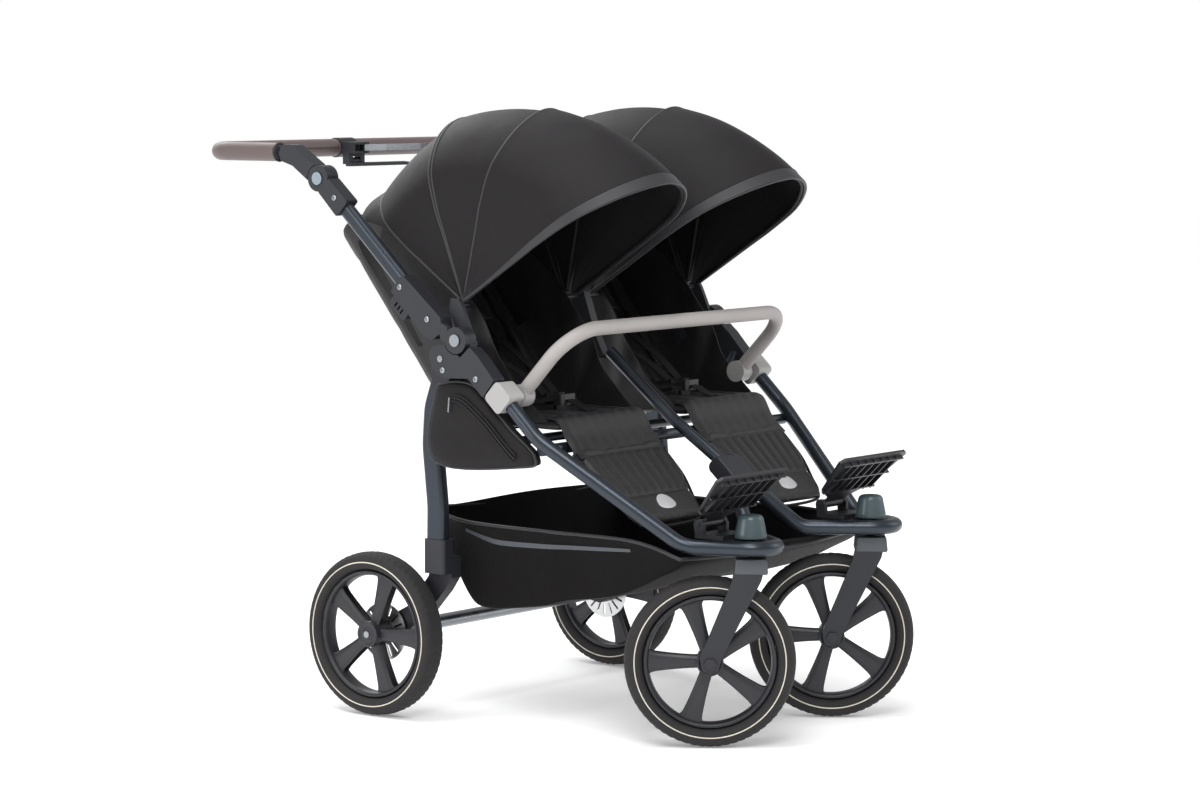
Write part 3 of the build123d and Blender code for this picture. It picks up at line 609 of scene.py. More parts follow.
def evenly(points: list[Vector], count: int) -> list[Vector]:
    """A line's points spread out evenly along its length.

    Args:
        points: the points.
        count: how many steps the line is cut into.

    Returns:
        The line's points.
    """
    runs = [0.0]
    for a, b in zip(points, points[1:]):
        runs.append(runs[-1] + (b - a).length)
    spread = []
    i = 0
    for k in range(count + 1):
        goal = runs[-1] * k / count
        while i < len(points) - 2 and runs[i + 1] < goal:
            i += 1
        spread.append(points[i].lerp(points[i + 1], (goal - runs[i]) / max(runs[i + 1] - runs[i], 1e-9)))
    return spread


def webbing(name: str, points: list[Vector], across: Vector, width: float, thick: float = 0.0018,
            rows: int = 60) -> bpy.types.Object:
    """A flat strap that follows a smooth line, with its width along a fixed direction.

    Args:
        name: the piece's name.
        points: the points.
        across: the direction of its width.
        width: how wide it is.
        thick: how thick it is.
        rows: how many rows of squares it has.

    Returns:
        The piece.
    """
    line = evenly(smooth_line(points), rows)
    side = across.normalized() * width / 2
    strap = cloth_grid(name, 4, rows, lambda u, v: line[round(v * rows)] + side * (2 * u - 1), thick, 0.0)
    return strap


def screw(name: str, centre: Vector, facing: Vector, radius: float) -> bpy.types.Object:
    """A domed screw head with a hexagonal socket.

    Args:
        name: the piece's name.
        centre: its centre.
        facing: the direction that it faces.
        radius: the radius.

    Returns:
        The piece.
    """
    bpy.ops.mesh.primitive_cylinder_add(vertices=24, radius=radius, depth=0.003)
    head = started(name)
    finish_with(head, "BEVEL", width=0.0009, segments=2, limit_method="ANGLE")
    only(head)
    bpy.ops.object.mode_set(mode="EDIT")
    mesh = bmesh.from_edit_mesh(head.data)
    for face in mesh.faces:
        face.select_set(face.normal.z > 0.9 and face.calc_area() > radius * radius)
    bmesh.update_edit_mesh(head.data)
    bpy.ops.mesh.inset(thickness=radius * 0.35)
    bpy.ops.mesh.inset(thickness=0.0002, depth=-0.0012)
    bpy.ops.object.mode_set(mode="OBJECT")
    turn = facing.to_track_quat("Z", "Y").to_matrix().to_4x4()
    head.data.transform(Matrix.Translation(centre) @ turn)
    return smooth(head, 35.0)


def joined(name: str, parts: list[bpy.types.Object]) -> bpy.types.Object:
    """Several loose parts made into one piece.

    Args:
        name: the piece's name.
        parts: the parts.

    Returns:
        The piece.
    """
    bpy.ops.object.select_all(action="DESELECT")
    for part in parts:
        part.select_set(True)
    bpy.context.view_layer.objects.active = parts[0]
    bpy.ops.object.join()
    parts[0].name = name
    return parts[0]


def copied(piece: bpy.types.Object, name: str, matrix: Matrix) -> bpy.types.Object:
    """A copy of a piece with its own mesh, put in place by a matrix.

    Args:
        piece: the piece.
        name: the piece's name.
        matrix: the matrix.

    Returns:
        The piece.
    """
    twin = bpy.data.objects.new(name, piece.data.copy())
    bpy.context.scene.collection.objects.link(twin)
    twin.data.transform(matrix)
    return twin


def placing(origin: Vector, x_axis: Vector, y_axis: Vector, z_axis: Vector) -> Matrix:
    """The matrix that takes a piece's own axes to their place in the frame.

    Args:
        origin: where its origin goes.
        x_axis: where its x axis points.
        y_axis: where its y axis points.
        z_axis: where its z axis points.

    Returns:
        The matrix.
    """
    matrix = Matrix((x_axis, y_axis, z_axis)).transposed().to_4x4()
    matrix.translation = origin
    return matrix


# ------------------------------------------------------------------ sub-assemblies
@dataclass
class Chassis:
    """The bare frame: every hard piece that keeps its own shape gets its finish here."""

    screw_radius: float = 0.0055

    def build(self) -> None:
        """Dresses the frame's nodes and adds their fasteners."""
        for part in frame["record"]["subparts"]:
            look = Look.BUCKLE if "buckle" in part["node"] else NODE_LOOKS[part["material_slot"]]
            for slot in frame["nodes"][part["node"]].material_slots:
                slot.material = look.value.material()
        for word, side in SIDES.items():
            self.add_screws(word, side)
            self.add_crown(word, side)

    def add_screws(self, word: str, side: int) -> None:
        """Adds the fasteners of one side's castings and fork.

        Args:
            word: the side, right or left.
            side: -1 for the right, 1 for the left.
        """
        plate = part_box("lower_hinge_plates")[1].x
        outward_x = Vector((side, 0, 0))
        spots = {
            "front_frame": [(plate, -0.272, 0.632), (plate, -0.196, 0.644)],
            "push_frame": [(plate, -0.160, 0.733), (plate, -0.096, 0.788), (plate, 0.060, 0.944)],
        }
        for body, places in spots.items():
            heads = [screw("head", at(side * x, y, z), outward_x, self.screw_radius) for x, y, z in places]
            dress(joined(f"{body}_screws_{word}", heads), Look.STEEL, body)

    def add_crown(self, word: str, side: int) -> None:
        """Adds the paler crown where the fork meets its swivel.

        Args:
            word: the side, right or left.
            side: -1 for the right, 1 for the left.
        """
        swivel = pivot(f"caster_swivel_{word}")
        trail = (pivot(f"front_wheel_spin_{word}") - swivel)
        trail.z = 0
        trail.normalize()
        bpy.ops.mesh.primitive_cube_add(size=1)
        crown = started(f"fork_crown_{word}")
        top, low = 0.334, 0.306
        across = Vector((0, 0, 1)).cross(trail)
        matrix = placing(Vector((swivel.x, swivel.y, 0)), trail, across, Vector((0, 0, 1)))

        def shaped(co: Vector) -> Vector:
            """Widens the block towards its top and reaches out over the blade."""
            reach = 0.027 if co.z > 0 else 0.030
            return Vector((co.x * 2 * reach, co.y * 0.066 + 0.0065, low + (co.z + 0.5) * (top - low)))

        reshape(crown, shaped)
        finish_with(crown, "BEVEL", width=0.004, segments=3)
        crown.data.transform(matrix)
        dress(smooth(crown), Look.CROWN, f"caster_{word}")


@dataclass
class Wheels:
    """Four wheels of one pattern: treaded tyre, reflective ring and a five-spoke rim."""

    radius: float = 0.150
    bead: float = 0.117
    width: float = 0.048
    ring_radius: float = 0.132
    ring_thick: float = 0.0011
    rim_inner: float = 0.1065
    rim_width: float = 0.032
    spokes: int = 5
    blocks: int = 64
    tread_depth: float = 0.0013

    def build(self) -> None:
        """Models one wheel and copies it to its four places."""
        parts = {
            "tyre": (self.tyre(), Look.RUBBER),
            "ring": (self.rings(), Look.RING),
            "rim": (self.rim(), Look.RIM),
        }
        up = Vector((0, 0, 1))
        for word, side in SIDES.items():
            rear = pivot(f"rear_wheel_spin_{word}")
            front = pivot(f"front_wheel_spin_{word}")
            trail = front - pivot(f"caster_swivel_{word}")
            trail.z = 0
            trail.normalize()
            axle = trail.cross(up)
            places = {
                f"rear_{word}": (rear, Vector((0, -1, 0)), Vector((side, 0, 0)), f"rear_wheel_{word}"),
                f"front_{word}": (front, trail, -axle, f"front_wheel_{word}"),
            }
            for name, (centre, level, spin, body) in places.items():
                matrix = placing(centre, level, spin.cross(level), spin)
                for part, (model, look) in parts.items():
                    piece = copied(model, f"{name}_{part}_shown", matrix)
                    dress(piece, look, body)
                    if part != "ring":
                        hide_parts(f"{name}_{part}")
        for model, _ in parts.values():
            bpy.data.objects.remove(model)

    def tyre(self) -> bpy.types.Object:
        """A tyre with its tread cut in, lying flat about the origin.

        Returns:
            The piece.
        """
        middle, tall, wide = (self.radius + self.bead) / 2, (self.radius - self.bead) / 2, self.width / 2
        bpy.ops.mesh.primitive_torus_add(major_segments=384, minor_segments=36, major_radius=1,
                                         minor_radius=0.3)
        piece = started("tyre_model")

        def shaped(co: Vector) -> Vector:
            """Squares the section, and sinks the grooves between the blocks.

            Args:
                co: a point of the primitive.

            Returns:
                The point.
            """
            turn = math.atan2(co.y, co.x)
            section = math.atan2(co.z, math.hypot(co.x, co.y) - 1)
            c, s = math.cos(section), math.sin(section)
            out = math.copysign(abs(c) ** 0.72, c)
            side = math.copysign(abs(s) ** 0.80, s) * wide
            reach = middle + out * tall
            if c > 0.35:
                chevron = turn * self.blocks / math.tau + abs(side) / wide * 1.2
                cross_cut = (chevron % 1) < 0.3 and abs(side) > 0.2 * wide
                ring_cut = abs(abs(side) - 0.3 * wide) < 0.07 * wide
                if cross_cut or ring_cut:
                    reach -= self.tread_depth
            return Vector((reach * math.cos(turn), reach * math.sin(turn), side))

        reshape(piece, shaped)
        return smooth(piece, 35.0)

    def rings(self) -> bpy.types.Object:
        """The thin reflective ring on each side wall.

        Returns:
            The piece.
        """
        parts = []
        for side in (-1, 1):
            face = side * self.width / 2 * 0.998
            bpy.ops.mesh.primitive_torus_add(major_segments=160, minor_segments=8, location=(0, 0, face),
                                             major_radius=self.ring_radius, minor_radius=self.ring_thick)
            part = started("ring_part")
            bpy.ops.object.transform_apply(location=True)
            parts.append(part)
        return smooth(joined("ring_model", parts))

    def rim(self) -> bpy.types.Object:
        """The rim: its band, five flared spokes and the hub.

        Returns:
            The piece.
        """
        bpy.ops.mesh.primitive_torus_add(major_segments=160, minor_segments=28, major_radius=1,
                                         minor_radius=0.3)
        band = started("rim_band")
        middle, tall = (self.bead + self.rim_inner) / 2, (self.bead - self.rim_inner) / 2
        wide = self.rim_width / 2

        def squared(co: Vector) -> Vector:
            """Squares the band's section and dishes its inner face.

            Args:
                co: a point of the primitive.

            Returns:
                The point.
            """
            turn = math.atan2(co.y, co.x)
            section = math.atan2(co.z, math.hypot(co.x, co.y) - 1)
            c, s = math.cos(section), math.sin(section)
            reach = middle + math.copysign(abs(c) ** 0.4, c) * tall
            side = math.copysign(abs(s) ** 0.4, s) * wide
            if c < 0:
                reach += 0.003 * (abs(side) / wide) ** 2
            return Vector((reach * math.cos(turn), reach * math.sin(turn), side))

        parts = [smooth(reshape(band, squared), 35.0)]
        spoke = self.spoke()
        for k in range(self.spokes):
            parts.append(copied(spoke, "spoke_part", Matrix.Rotation(math.tau * k / self.spokes, 4, "Z")))
        bpy.data.objects.remove(spoke)
        bpy.ops.mesh.primitive_cylinder_add(vertices=64, radius=0.0235, depth=0.046)
        hub = started("hub_part")
        only(hub)
        bpy.ops.object.mode_set(mode="EDIT")
        mesh = bmesh.from_edit_mesh(hub.data)
        for face in mesh.faces:
            face.select_set(abs(face.normal.z) > 0.9)
        bmesh.update_edit_mesh(hub.data)
        bpy.ops.mesh.inset(thickness=0.004)
        bpy.ops.mesh.inset(thickness=0.0015, depth=-0.0015)
        bpy.ops.mesh.inset(thickness=0.006)
        bpy.ops.mesh.inset(thickness=0.001, depth=0.0015)
        bpy.ops.object.mode_set(mode="OBJECT")
        finish_with(hub, "BEVEL", width=0.0012, segments=2, limit_method="ANGLE")
        parts.append(smooth(hub, 35.0))
        return joined("rim_model", parts)

    def spoke(self) -> bpy.types.Object:
        """One spoke, flared towards the rim, with a raised middle on both faces.

        Returns:
            The piece.
        """
        bpy.ops.mesh.primitive_grid_add(x_subdivisions=12, y_subdivisions=8, size=1)
        spoke = started("spoke_model")
        start, end = 0.019, self.rim_inner + 0.003

        def flared(co: Vector) -> Vector:
            """Puts the spoke's upper face in place.

            Args:
                co: a point of the primitive.

            Returns:
                The point.
            """
            along, across = co.x + 0.5, co.y * 2
            half = 0.0105 + 0.0085 * along**1.6
            if along > 0.9:
                half += 0.006 * (along - 0.9) / 0.1
            rise = 0.0125 - 0.0035 * along
            rise -= 0.0035 * max(0.0, (abs(across) - 0.62) / 0.38)
            return Vector((start + (end - start) * along, across * half, rise))

        reshape(spoke, flared)
        only(spoke)
        bpy.ops.object.mode_set(mode="EDIT")
        bpy.ops.mesh.select_all(action="SELECT")
        bpy.ops.mesh.extrude_region_move(TRANSFORM_OT_translate={"value": (0, 0, -0.001)})
        bpy.ops.transform.resize(value=(1, 1, 0))
        bpy.ops.object.mode_set(mode="OBJECT")
        low = min(v.co.z for v in spoke.data.vertices)
        for vertex in spoke.data.vertices:
            if vertex.co.z <= low + 1e-6:
                vertex.co.z = 0.0
        finish_with(spoke, "MIRROR", use_axis=(False, False, True), merge_threshold=0.0001)
        outward(spoke)
        return smooth(spoke, 30.0)


@dataclass
class Canopy:
    """One seat's canopy: three curved panels on hoops, piped at the seams and bound along the brim."""

    word: str
    side: int
    radius: float = 0.346
    half: float = 0.141
    layer: float = 0.005
    brim_radius: float = 0.412
    brim_half: float = 0.166
    hem: float = 0.010
    angles: tuple[float, float, float, float] = (35.0, 68.0, 102.5, 147.5)
    columns: int = 72
    sag: float = 0.016
    lap: float = 5.0
    arch: list[Vector] = field(default_factory=list)

    def build(self) -> None:
        """Makes the three panels, their hoops, seams and brim."""
        self.centre = pivot(f"canopy_front_fold_{self.word}")
        self.arch = self.unit_arch()
        rear, hoop, front_hoop, brim = self.angles
        middle_body, front_body = f"canopy_middle_{self.word}", f"canopy_front_{self.word}"
        panels = [
            ("rear", rear, hoop, self.lap, "front_frame", "canopy_rear_panels"),
            ("middle", hoop, front_hoop - 0.3, self.lap, middle_body, middle_body),
            ("front", front_hoop, brim, 0.0, front_body, front_body),
        ]
        for step, (label, low, high, lap, body, node) in enumerate(panels):
            piece = cloth_grid(f"canopy_{label}_cloth_{self.word}", self.columns, 36,
                               lambda u, v: self.spot(u, low + v * (high + lap - low), step, v))
            dress(piece, Look.CANOPY, body)
            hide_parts(node)
            self.declare(low, high + lap, step)
            hem = piping(f"canopy_{label}_seam_{self.word}", self.edge(low + 0.2, step, -0.0004), 0.0026)
            dress(hem, Look.BINDING, body)
            if label == "middle":
                second = piping(f"canopy_double_seam_{self.word}", self.edge(low + 1.9, step, 0.0004), 0.0019)
                dress(second, Look.BINDING, body)
            rod = piping(f"canopy_{label}_hoop_{self.word}", self.edge(high - 0.6, step, -0.0055), 0.0034)
            dress(rod, Look.CANOPY, body)
        self.add_brim(brim)

    def rear_edge(self) -> list[Vector]:
        """The edge of the rear panel, where the back's cloth is sewn on.

        Returns:
            The line's points.
        """
        self.centre = pivot(f"canopy_front_fold_{self.word}")
        self.arch = self.unit_arch()
        return [self.spot(k / self.columns, self.angles[0] + 0.4, 0, 0) for k in range(self.columns + 1)]

    def unit_arch(self) -> list[Vector]:
        """The section's outline, with its half width and its height both 1.

        Returns:
            The line's points.
        """
        foot = self.hem / self.radius
        side = [(-1, 0.53), (-0.9, 0.73), (-0.51, 0.915), (0, 1.0), (0.51, 0.915), (0.9, 0.73), (1, 0.53)]
        knots = [Vector((x, y, 0)) for x, y in side]
        line = smooth_line([Vector((-1, 0.40, 0)), *knots, Vector((1, 0.40, 0))], 10)
        return evenly([Vector((-1, foot, 0)), *line, Vector((1, foot, 0))], self.columns)

    def spot(self, u: float, angle: float, step: int, share: float) -> Vector:
        """A point of a panel, u across it and at an angle from level rearwards.

        Args:
            u: the place across, from 0 to 1.
            angle: the angle, in degrees.
            step: which layer of the canopy it is.
            share: the share, from 0 to 1.

        Returns:
            The point.
        """
        flat = self.arch[round(u * self.columns)]
        radius, half = self.radius + step * self.layer, self.half + step * self.layer
        if step == 2:
            swell = share**1.3
            radius += swell * (self.brim_radius - radius)
            half += swell * (self.brim_half - half)
        sides = abs(flat.x) ** 3
        slack = self.sag * math.sin(math.pi * share) * (1 - 0.55 * sides) * (0.55 if step == 2 else 1.0)
        ripple = 0.004 * math.sin(share * 19 + step * 2) * (1 - flat.y) ** 1.2 * math.sin(math.pi * share)
        crumple = 0.006 * (noise.noise(Vector((flat.x * 3 + step * 5, flat.y * 3, angle / 14 + self.side))))
        crumple *= math.sin(math.pi * share) ** 0.5
        scale = 1 - slack - max(0.0, ripple) - max(0.0, crumple)
        reach = flat.y * radius * scale
        a = math.radians(angle)
        return self.centre + Vector((flat.x * half * scale, reach * math.cos(a), reach * math.sin(a)))

    def edge(self, angle: float, step: int, proud: float) -> list[Vector]:
        """A line across a panel at one angle, standing proud of it.

        Args:
            angle: the angle, in degrees.
            step: which layer of the canopy it is.
            proud: how far it stands out.

        Returns:
            The line's points.
        """
        low, high = self.angles[step], self.angles[step + 1]
        share = min(max((angle - low) / (high - low), 0.0), 1.0)
        points = [self.spot(k / self.columns, angle, step, share if step == 2 else round(share))
                  for k in range(self.columns + 1)]
        middle = self.centre + 0.5 * (points[self.columns // 2] - self.centre)
        return [p + (p - middle).normalized() * proud for p in points]

    def add_brim(self, brim: float) -> None:
        """Adds the stiff band along the front edge and its rolled binding.

        Args:
            brim: the brim's angle, in degrees.
        """
        band_low = brim - 3.4
        low = self.edge(band_low, 2, 0.0014)
        high = self.edge(brim, 2, 0.0016)

        def spot(u: float, v: float) -> Vector:
            """A point of the band: u across the canopy, v up to the brim."""
            place = round(u * self.columns)
            return low[place].lerp(high[place], v)

        band = cloth_grid(f"canopy_brim_band_{self.word}", self.columns, 6, spot, 0.0012, 0.0)
        dress(band, Look.BINDING, f"canopy_front_{self.word}")
        roll = piping(f"canopy_brim_roll_{self.word}", self.edge(brim, 2, -0.0008), 0.0031)
        dress(roll, Look.BINDING, f"canopy_front_{self.word}")
        stitch = piping(f"canopy_brim_seam_{self.word}", self.edge(band_low, 2, 0.0018), 0.0011)
        dress(stitch, Look.CANOPY, f"canopy_front_{self.word}")

    def declare(self, low: float, high: float, step: int) -> None:
        """Works out the size that the panel's cloth was cut to, without keeping or reporting it.

        Args:
            low: its lower angle, in degrees.
            high: its upper angle, in degrees.
            step: which layer of the canopy it is.
        """
        radius, half = self.radius + step * self.layer, self.half + step * self.layer
        if step == 2:
            radius, half = (radius + self.brim_radius) / 2, (half + self.brim_half) / 2
        turn = math.radians(high - low)
        outline = [Vector((p.x * half, p.y * radius, 0)) for p in self.arch]
        runs = [((b - a).length, (a.y + b.y) / 2) for a, b in zip(outline, outline[1:])]
        across, along = sum(run for run, _ in runs), turn * radius


@dataclass
class Pad:
    """A padded piece: a slab that is swelled by a cloth simulation, then sewn into channels.

    Its own axes are x across, y along from its foot, and z out of its face.
    """

    name: str
    width: float
    length: float
    thick: float
    place: Matrix
    body: str
    node: str | None
    corner: float = 0.03
    cap: float = 0.007
    seams: tuple[tuple[float, float, float, float], ...] = ()
    seam_depth: float = 0.0045
    seam_width: float = 0.006
    taper: Callable[[float], float] = lambda y: 1.0
    voxel: float = 0.005
    pressure: float = 4.0
    frames: int = 20

    def build(self) -> bpy.types.Object:
        """Makes the pad and puts it in place.

        Returns:
            The piece.
        """
        piece = self.slab()
        self.swell(piece)
        finish_with(piece, "SUBSURF", levels=1, render_levels=1)
        self.sew(piece)
        piece.data.transform(self.place)
        smooth(piece, 180.0)
        dress(piece, Look.SEAT, self.body)
        if self.node:
            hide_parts(self.node)
        return piece

    def slab(self) -> bpy.types.Object:
        """The pad before it swells, with rounded corners and edges.

        Returns:
            The piece.
        """
        bpy.ops.mesh.primitive_cube_add(size=1)
        piece = started(self.name)
        reshape(piece, lambda co: Vector((co.x * self.width, (co.y + 0.5) * self.length,
                                          (co.z + 0.5) * self.thick)))
        bpy.ops.object.mode_set(mode="EDIT")
        mesh = bmesh.from_edit_mesh(piece.data)
        for edge in mesh.edges:
            a, b = edge.verts
            edge.select_set(abs(a.co.z - b.co.z) > self.thick / 2)
        bmesh.update_edit_mesh(piece.data)
        bpy.ops.mesh.bevel(offset=self.corner, segments=6)
        bpy.ops.object.mode_set(mode="OBJECT")
        finish_with(piece, "BEVEL", width=self.thick * 0.3, segments=2, limit_method="ANGLE")
        finish_with(piece, "REMESH", mode="VOXEL", voxel_size=self.voxel)
        return reshape(piece, lambda co: Vector((co.x * self.taper(co.y / self.length), co.y, co.z)))

    def swell(self, piece: bpy.types.Object) -> None:
        """Blows the pad up as stuffed cloth, with each point held near where it started.

        Args:
            piece: the piece.
        """
        rest = [v.co.copy() for v in piece.data.vertices]
        modifier = only(piece).modifiers.new("Stuffing", "CLOTH")
        modifier.settings.use_pressure = True
        modifier.settings.uniform_pressure_force = self.pressure
        modifier.settings.effector_weights.gravity = 0
        for number in range(1, self.frames + 1):
            bpy.context.scene.frame_set(number)
        bpy.ops.object.modifier_apply(modifier=modifier.name)
        bpy.context.scene.frame_set(1)
        for vertex, start in zip(piece.data.vertices, rest):
            move = vertex.co - start
            if move.length > self.cap:
                move *= self.cap / move.length
            vertex.co = start + move

    def sew(self, piece: bpy.types.Object) -> None:
        """Sinks the sewn channels into the pad's face.

        Args:
            piece: the piece.
        """
        normals = [v.normal.copy() for v in piece.data.vertices]
        for vertex, normal in zip(piece.data.vertices, normals):
            if normal.z < 0.25:
                continue
            sink = 0.0
            for x0, y0, x1, y1 in self.seams:
                run = Vector((x1 - x0, y1 - y0))
                spot = Vector((vertex.co.x - x0, vertex.co.y - y0))
                share = min(max(spot.dot(run) / run.length_squared, 0.0), 1.0)
                gap = (spot - run * share).length
                sink = max(sink, math.exp(-(gap / self.seam_width) ** 2))
            vertex.co.z -= self.seam_depth * sink


@dataclass
class Seat:
    """One seat: cushion, backrest, leg rest, side cloth, harness and badge."""

    word: str
    side: int
    half: float = 0.128
    seat_top: float = 0.565
    back_lean: float = 51.5
    back_length: float = 0.474
    back_front: float = 0.029
    back_rear: float = 0.045
    rest_lean: float = 44.4
    buckle_y: float = -0.300
    wing_start: float = 0.05

    def build(self) -> None:
        """Makes everything soft that belongs to this seat."""
        centre = pivot(f"backrest_recline_{self.word}")
        lean = math.radians(self.back_lean)
        self.up_back = Vector((0, math.cos(lean), math.sin(lean)))
        self.off_back = Vector((0, -math.sin(lean), math.cos(lean)))
        self.back = placing(centre, Vector((1, 0, 0)), self.up_back, self.off_back)
        self.x = centre.x
        self.add_cushion()
        self.add_backrest()
        self.add_leg_rest()
        self.add_front_flap()
        self.add_rear_gusset()
        self.add_side_cloth()
        self.add_curtain()
        self.add_harness()

    def add_cushion(self) -> None:
        """The cushion that the rider sits on."""
        low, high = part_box("seat_cushions")
        length = high.y - low.y
        thick = high.z - low.z
        place = Matrix.Translation((self.x, low.y, low.z + 0.004))
        lines = tuple((x, 0.02, x, length - 0.02) for x in (-0.075, 0.075))
        Pad(f"seat_cushion_{self.word}", 2 * self.half - 0.012, length - 0.006, thick - 0.008, place,
            "front_frame", "seat_cushions", corner=0.022, cap=0.005, seams=lines).build()

    def add_backrest(self) -> None:
        """The padded back, with its side bolsters and sewn lines."""
        start, proud = 0.018, 0.007
        place = self.back @ Matrix.Translation((0, start, proud - self.back_rear))
        thick = self.back_front + self.back_rear - 2 * proud
        rows = tuple((-0.115, y, 0.115, y) for y in (0.150, 0.335))
        lines = tuple((x, 0.03, x, 0.44) for x in (-0.062, 0.062))
        Pad(f"backrest_pad_{self.word}", 2 * self.half - 0.014, self.back_length - 0.010, thick, place,
            f"backrest_{self.word}", f"backrest_{self.word}", corner=0.04, seams=(*rows, *lines)).build()
        for way in (-1, 1):
            bolster = self.back @ Matrix.Translation((way * 0.103, 0.075, self.back_front - 0.006))
            Pad(f"back_bolster_{self.word}_{hand(way)}", 0.036, 0.30, 0.016, bolster,
                f"backrest_{self.word}", None, corner=0.014, cap=0.004, voxel=0.004).build()

    def add_leg_rest(self) -> None:
        """The quilted leg rest with its lengthwise channels, binding and badge."""
        hinge = pivot(f"leg_rest_lift_{self.word}")
        drop = math.radians(self.rest_lean)
        down = Vector((0, -math.cos(drop), -math.sin(drop)))
        face = Vector((0, -math.sin(drop), math.cos(drop)))
        place = placing(hinge + down * 0.016 + face * 0.0055, Vector((-1, 0, 0)), down, face)
        length = 0.186

        def taper(share: float) -> float:
            """How wide the rest is at a share of its length."""
            return 1.0 if share < 0.45 else 1.0 - 0.30 * ((share - 0.45) / 0.55) ** 1.1

        channels = tuple((x * 0.0265, 0.030, x * 0.0265 * 0.88, 0.118) for x in range(-4, 5))
        cross_seams = ((-0.12, 0.024, 0.12, 0.024), (-0.115, 0.124, 0.115, 0.124))
        Pad(f"leg_rest_pad_{self.word}", 2 * self.half - 0.008, length, 0.014, place, f"leg_rest_{self.word}",
            f"leg_rest_{self.word}", corner=0.028, cap=0.0045, seams=(*channels, *cross_seams), taper=taper,
            seam_depth=0.0030, seam_width=0.0045, voxel=0.004).build()
        edge = []
        for share in (0.06, 0.3, 0.5, 0.75, 0.90):
            edge.append(Vector((-(self.half - 0.003) * taper(share), share * length, 0.007)))
        edge += [Vector((-0.062, length * 1.01, 0.007)), Vector((0.062, length * 1.01, 0.007))]
        edge += [Vector((-p.x, p.y, p.z)) for p in reversed(edge[:5])]
        rim = piping(f"leg_rest_binding_{self.word}", [place @ p for p in smooth_line(edge)], 0.0028)
        dress(rim, Look.WEBBING, f"leg_rest_{self.word}")
        self.add_badge(place)

    def add_rear_gusset(self) -> None:
        """The cloth that closes the gap between the cushion and the foot of the backrest."""
        low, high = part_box("seat_cushions")
        hinge = pivot(f"backrest_recline_{self.word}")
        first = Vector((0, high.y - 0.030, high.z - 0.004))
        last = Vector((0, hinge.y, hinge.z))
        last += self.up_back * 0.060 + self.off_back * (self.back_front - 0.006)
        middle = (first + last) / 2 + Vector((0, 0.006, -0.006))
        rows = 16
        line = evenly(smooth_line([first, middle, last]), rows)
        half = self.half - 0.006

        def spot(u: float, v: float) -> Vector:
            """A point of the gusset: u across the seat, v from the cushion up to the back.

            Args:
                u: the place across, from 0 to 1.
                v: the place along, from 0 to 1.

            Returns:
                The point.
            """
            across = 2 * u - 1
            pucker = 0.0022 * math.sin(across * 17 + 2 * v) * math.sin(math.pi * v)
            return line[round(v * rows)] + Vector((self.x + across * half, 0, pucker))

        piece = cloth_grid(f"seat_rear_gusset_{self.word}", 40, rows, spot, 0.002, 0.0)
        shift = Vector((self.x, 0, 0))
        cross(piece, Look.SEAT, f"backrest_{self.word}", first + shift, last + shift)
        length = sum((b - a).length for a, b in zip(line, line[1:]))
        round(2 * half, 3)

    def add_badge(self, place: Matrix) -> None:
        """A plain half-oval badge near the leg rest's end.

        Args:
            place: where it goes.
        """
        bpy.ops.mesh.primitive_cylinder_add(vertices=64, radius=0.024, depth=0.0018)
        badge = started(f"leg_rest_badge_{self.word}")
        reshape(badge, lambda co: Vector((co.x, co.y * (0.42 if co.y > 0 else 0.95), co.z)))
        finish_with(badge, "BEVEL", width=0.0006, segments=2, limit_method="ANGLE")
        badge.data.transform(place @ Matrix.Translation((-0.005, 0.152, 0.0178)))
        dress(smooth(badge, 30.0), Look.BADGE, f"leg_rest_{self.word}")

    def wing_edge(self, share: float) -> float:
        """How far a wing reaches from the hinge, at a share of its turn from the back to the seat."""
        return 0.455 - 0.85 * share + 0.58 * share * share

    def add_side_cloth(self) -> None:
        """The cloth wings between the backrest and the seat."""
        hinge = pivot(f"backrest_recline_{self.word}")
        seat_angle, back_angle = 180.0 - 8.0, self.back_lean + 3.0
        for way in (-1, 1):
            x = self.x + way * (self.half - 0.003)

            def spot(u: float, v: float) -> Vector:
                """A point of the wing: u from the back to the seat, v outwards from the hinge.

                Args:
                    u: the place across, from 0 to 1.
                    v: the place along, from 0 to 1.

                Returns:
                    The point.
                """
                angle = math.radians(back_angle + u * (seat_angle - back_angle))
                reach = self.wing_start + v * (self.wing_edge(u) - self.wing_start)
                fold = 0.0035 * math.sin(u * 21 + v * 3) * math.sin(math.pi * u) * v
                belly = way * (0.002 + fold + 0.010 * v * math.sin(math.pi * u))
                return Vector((x + belly, hinge.y, hinge.z)) + \
                    reach * Vector((0, math.cos(angle), math.sin(angle)))

            piece = cloth_grid(f"side_wing_{self.word}_{hand(way)}", 44, 26, spot, 0.0016, 0.0)
            cross(piece, Look.SEAT, f"backrest_{self.word}", hinge + Vector((0, -0.10, 0.03)),
                  hinge + self.up_back * 0.10)
            turn = math.radians(seat_angle - back_angle)
            reaches = [self.wing_edge(k / 20) for k in range(21)]
            area = sum((reach**2 - self.wing_start**2) / 2 for reach in reaches) / 21 * turn

    def add_curtain(self) -> None:
        """The cloth that closes the gap from the canopy's rear hoop to the sides and top of the back."""
        canopy = Canopy(self.word, self.side)
        rear_edge = canopy.rear_edge()
        side, top = self.half - 0.010, self.back_length - 0.006
        corners = [(-side, 0.19), (-side, 0.30), (-side, top - 0.05), (-side + 0.05, top), (0, top + 0.003)]
        corners += [(-x, y) for x, y in reversed(corners[:4])]
        rim = [self.back @ Vector((x, y, -0.008)) for x, y in corners]
        rim = evenly(smooth_line(rim), canopy.columns)

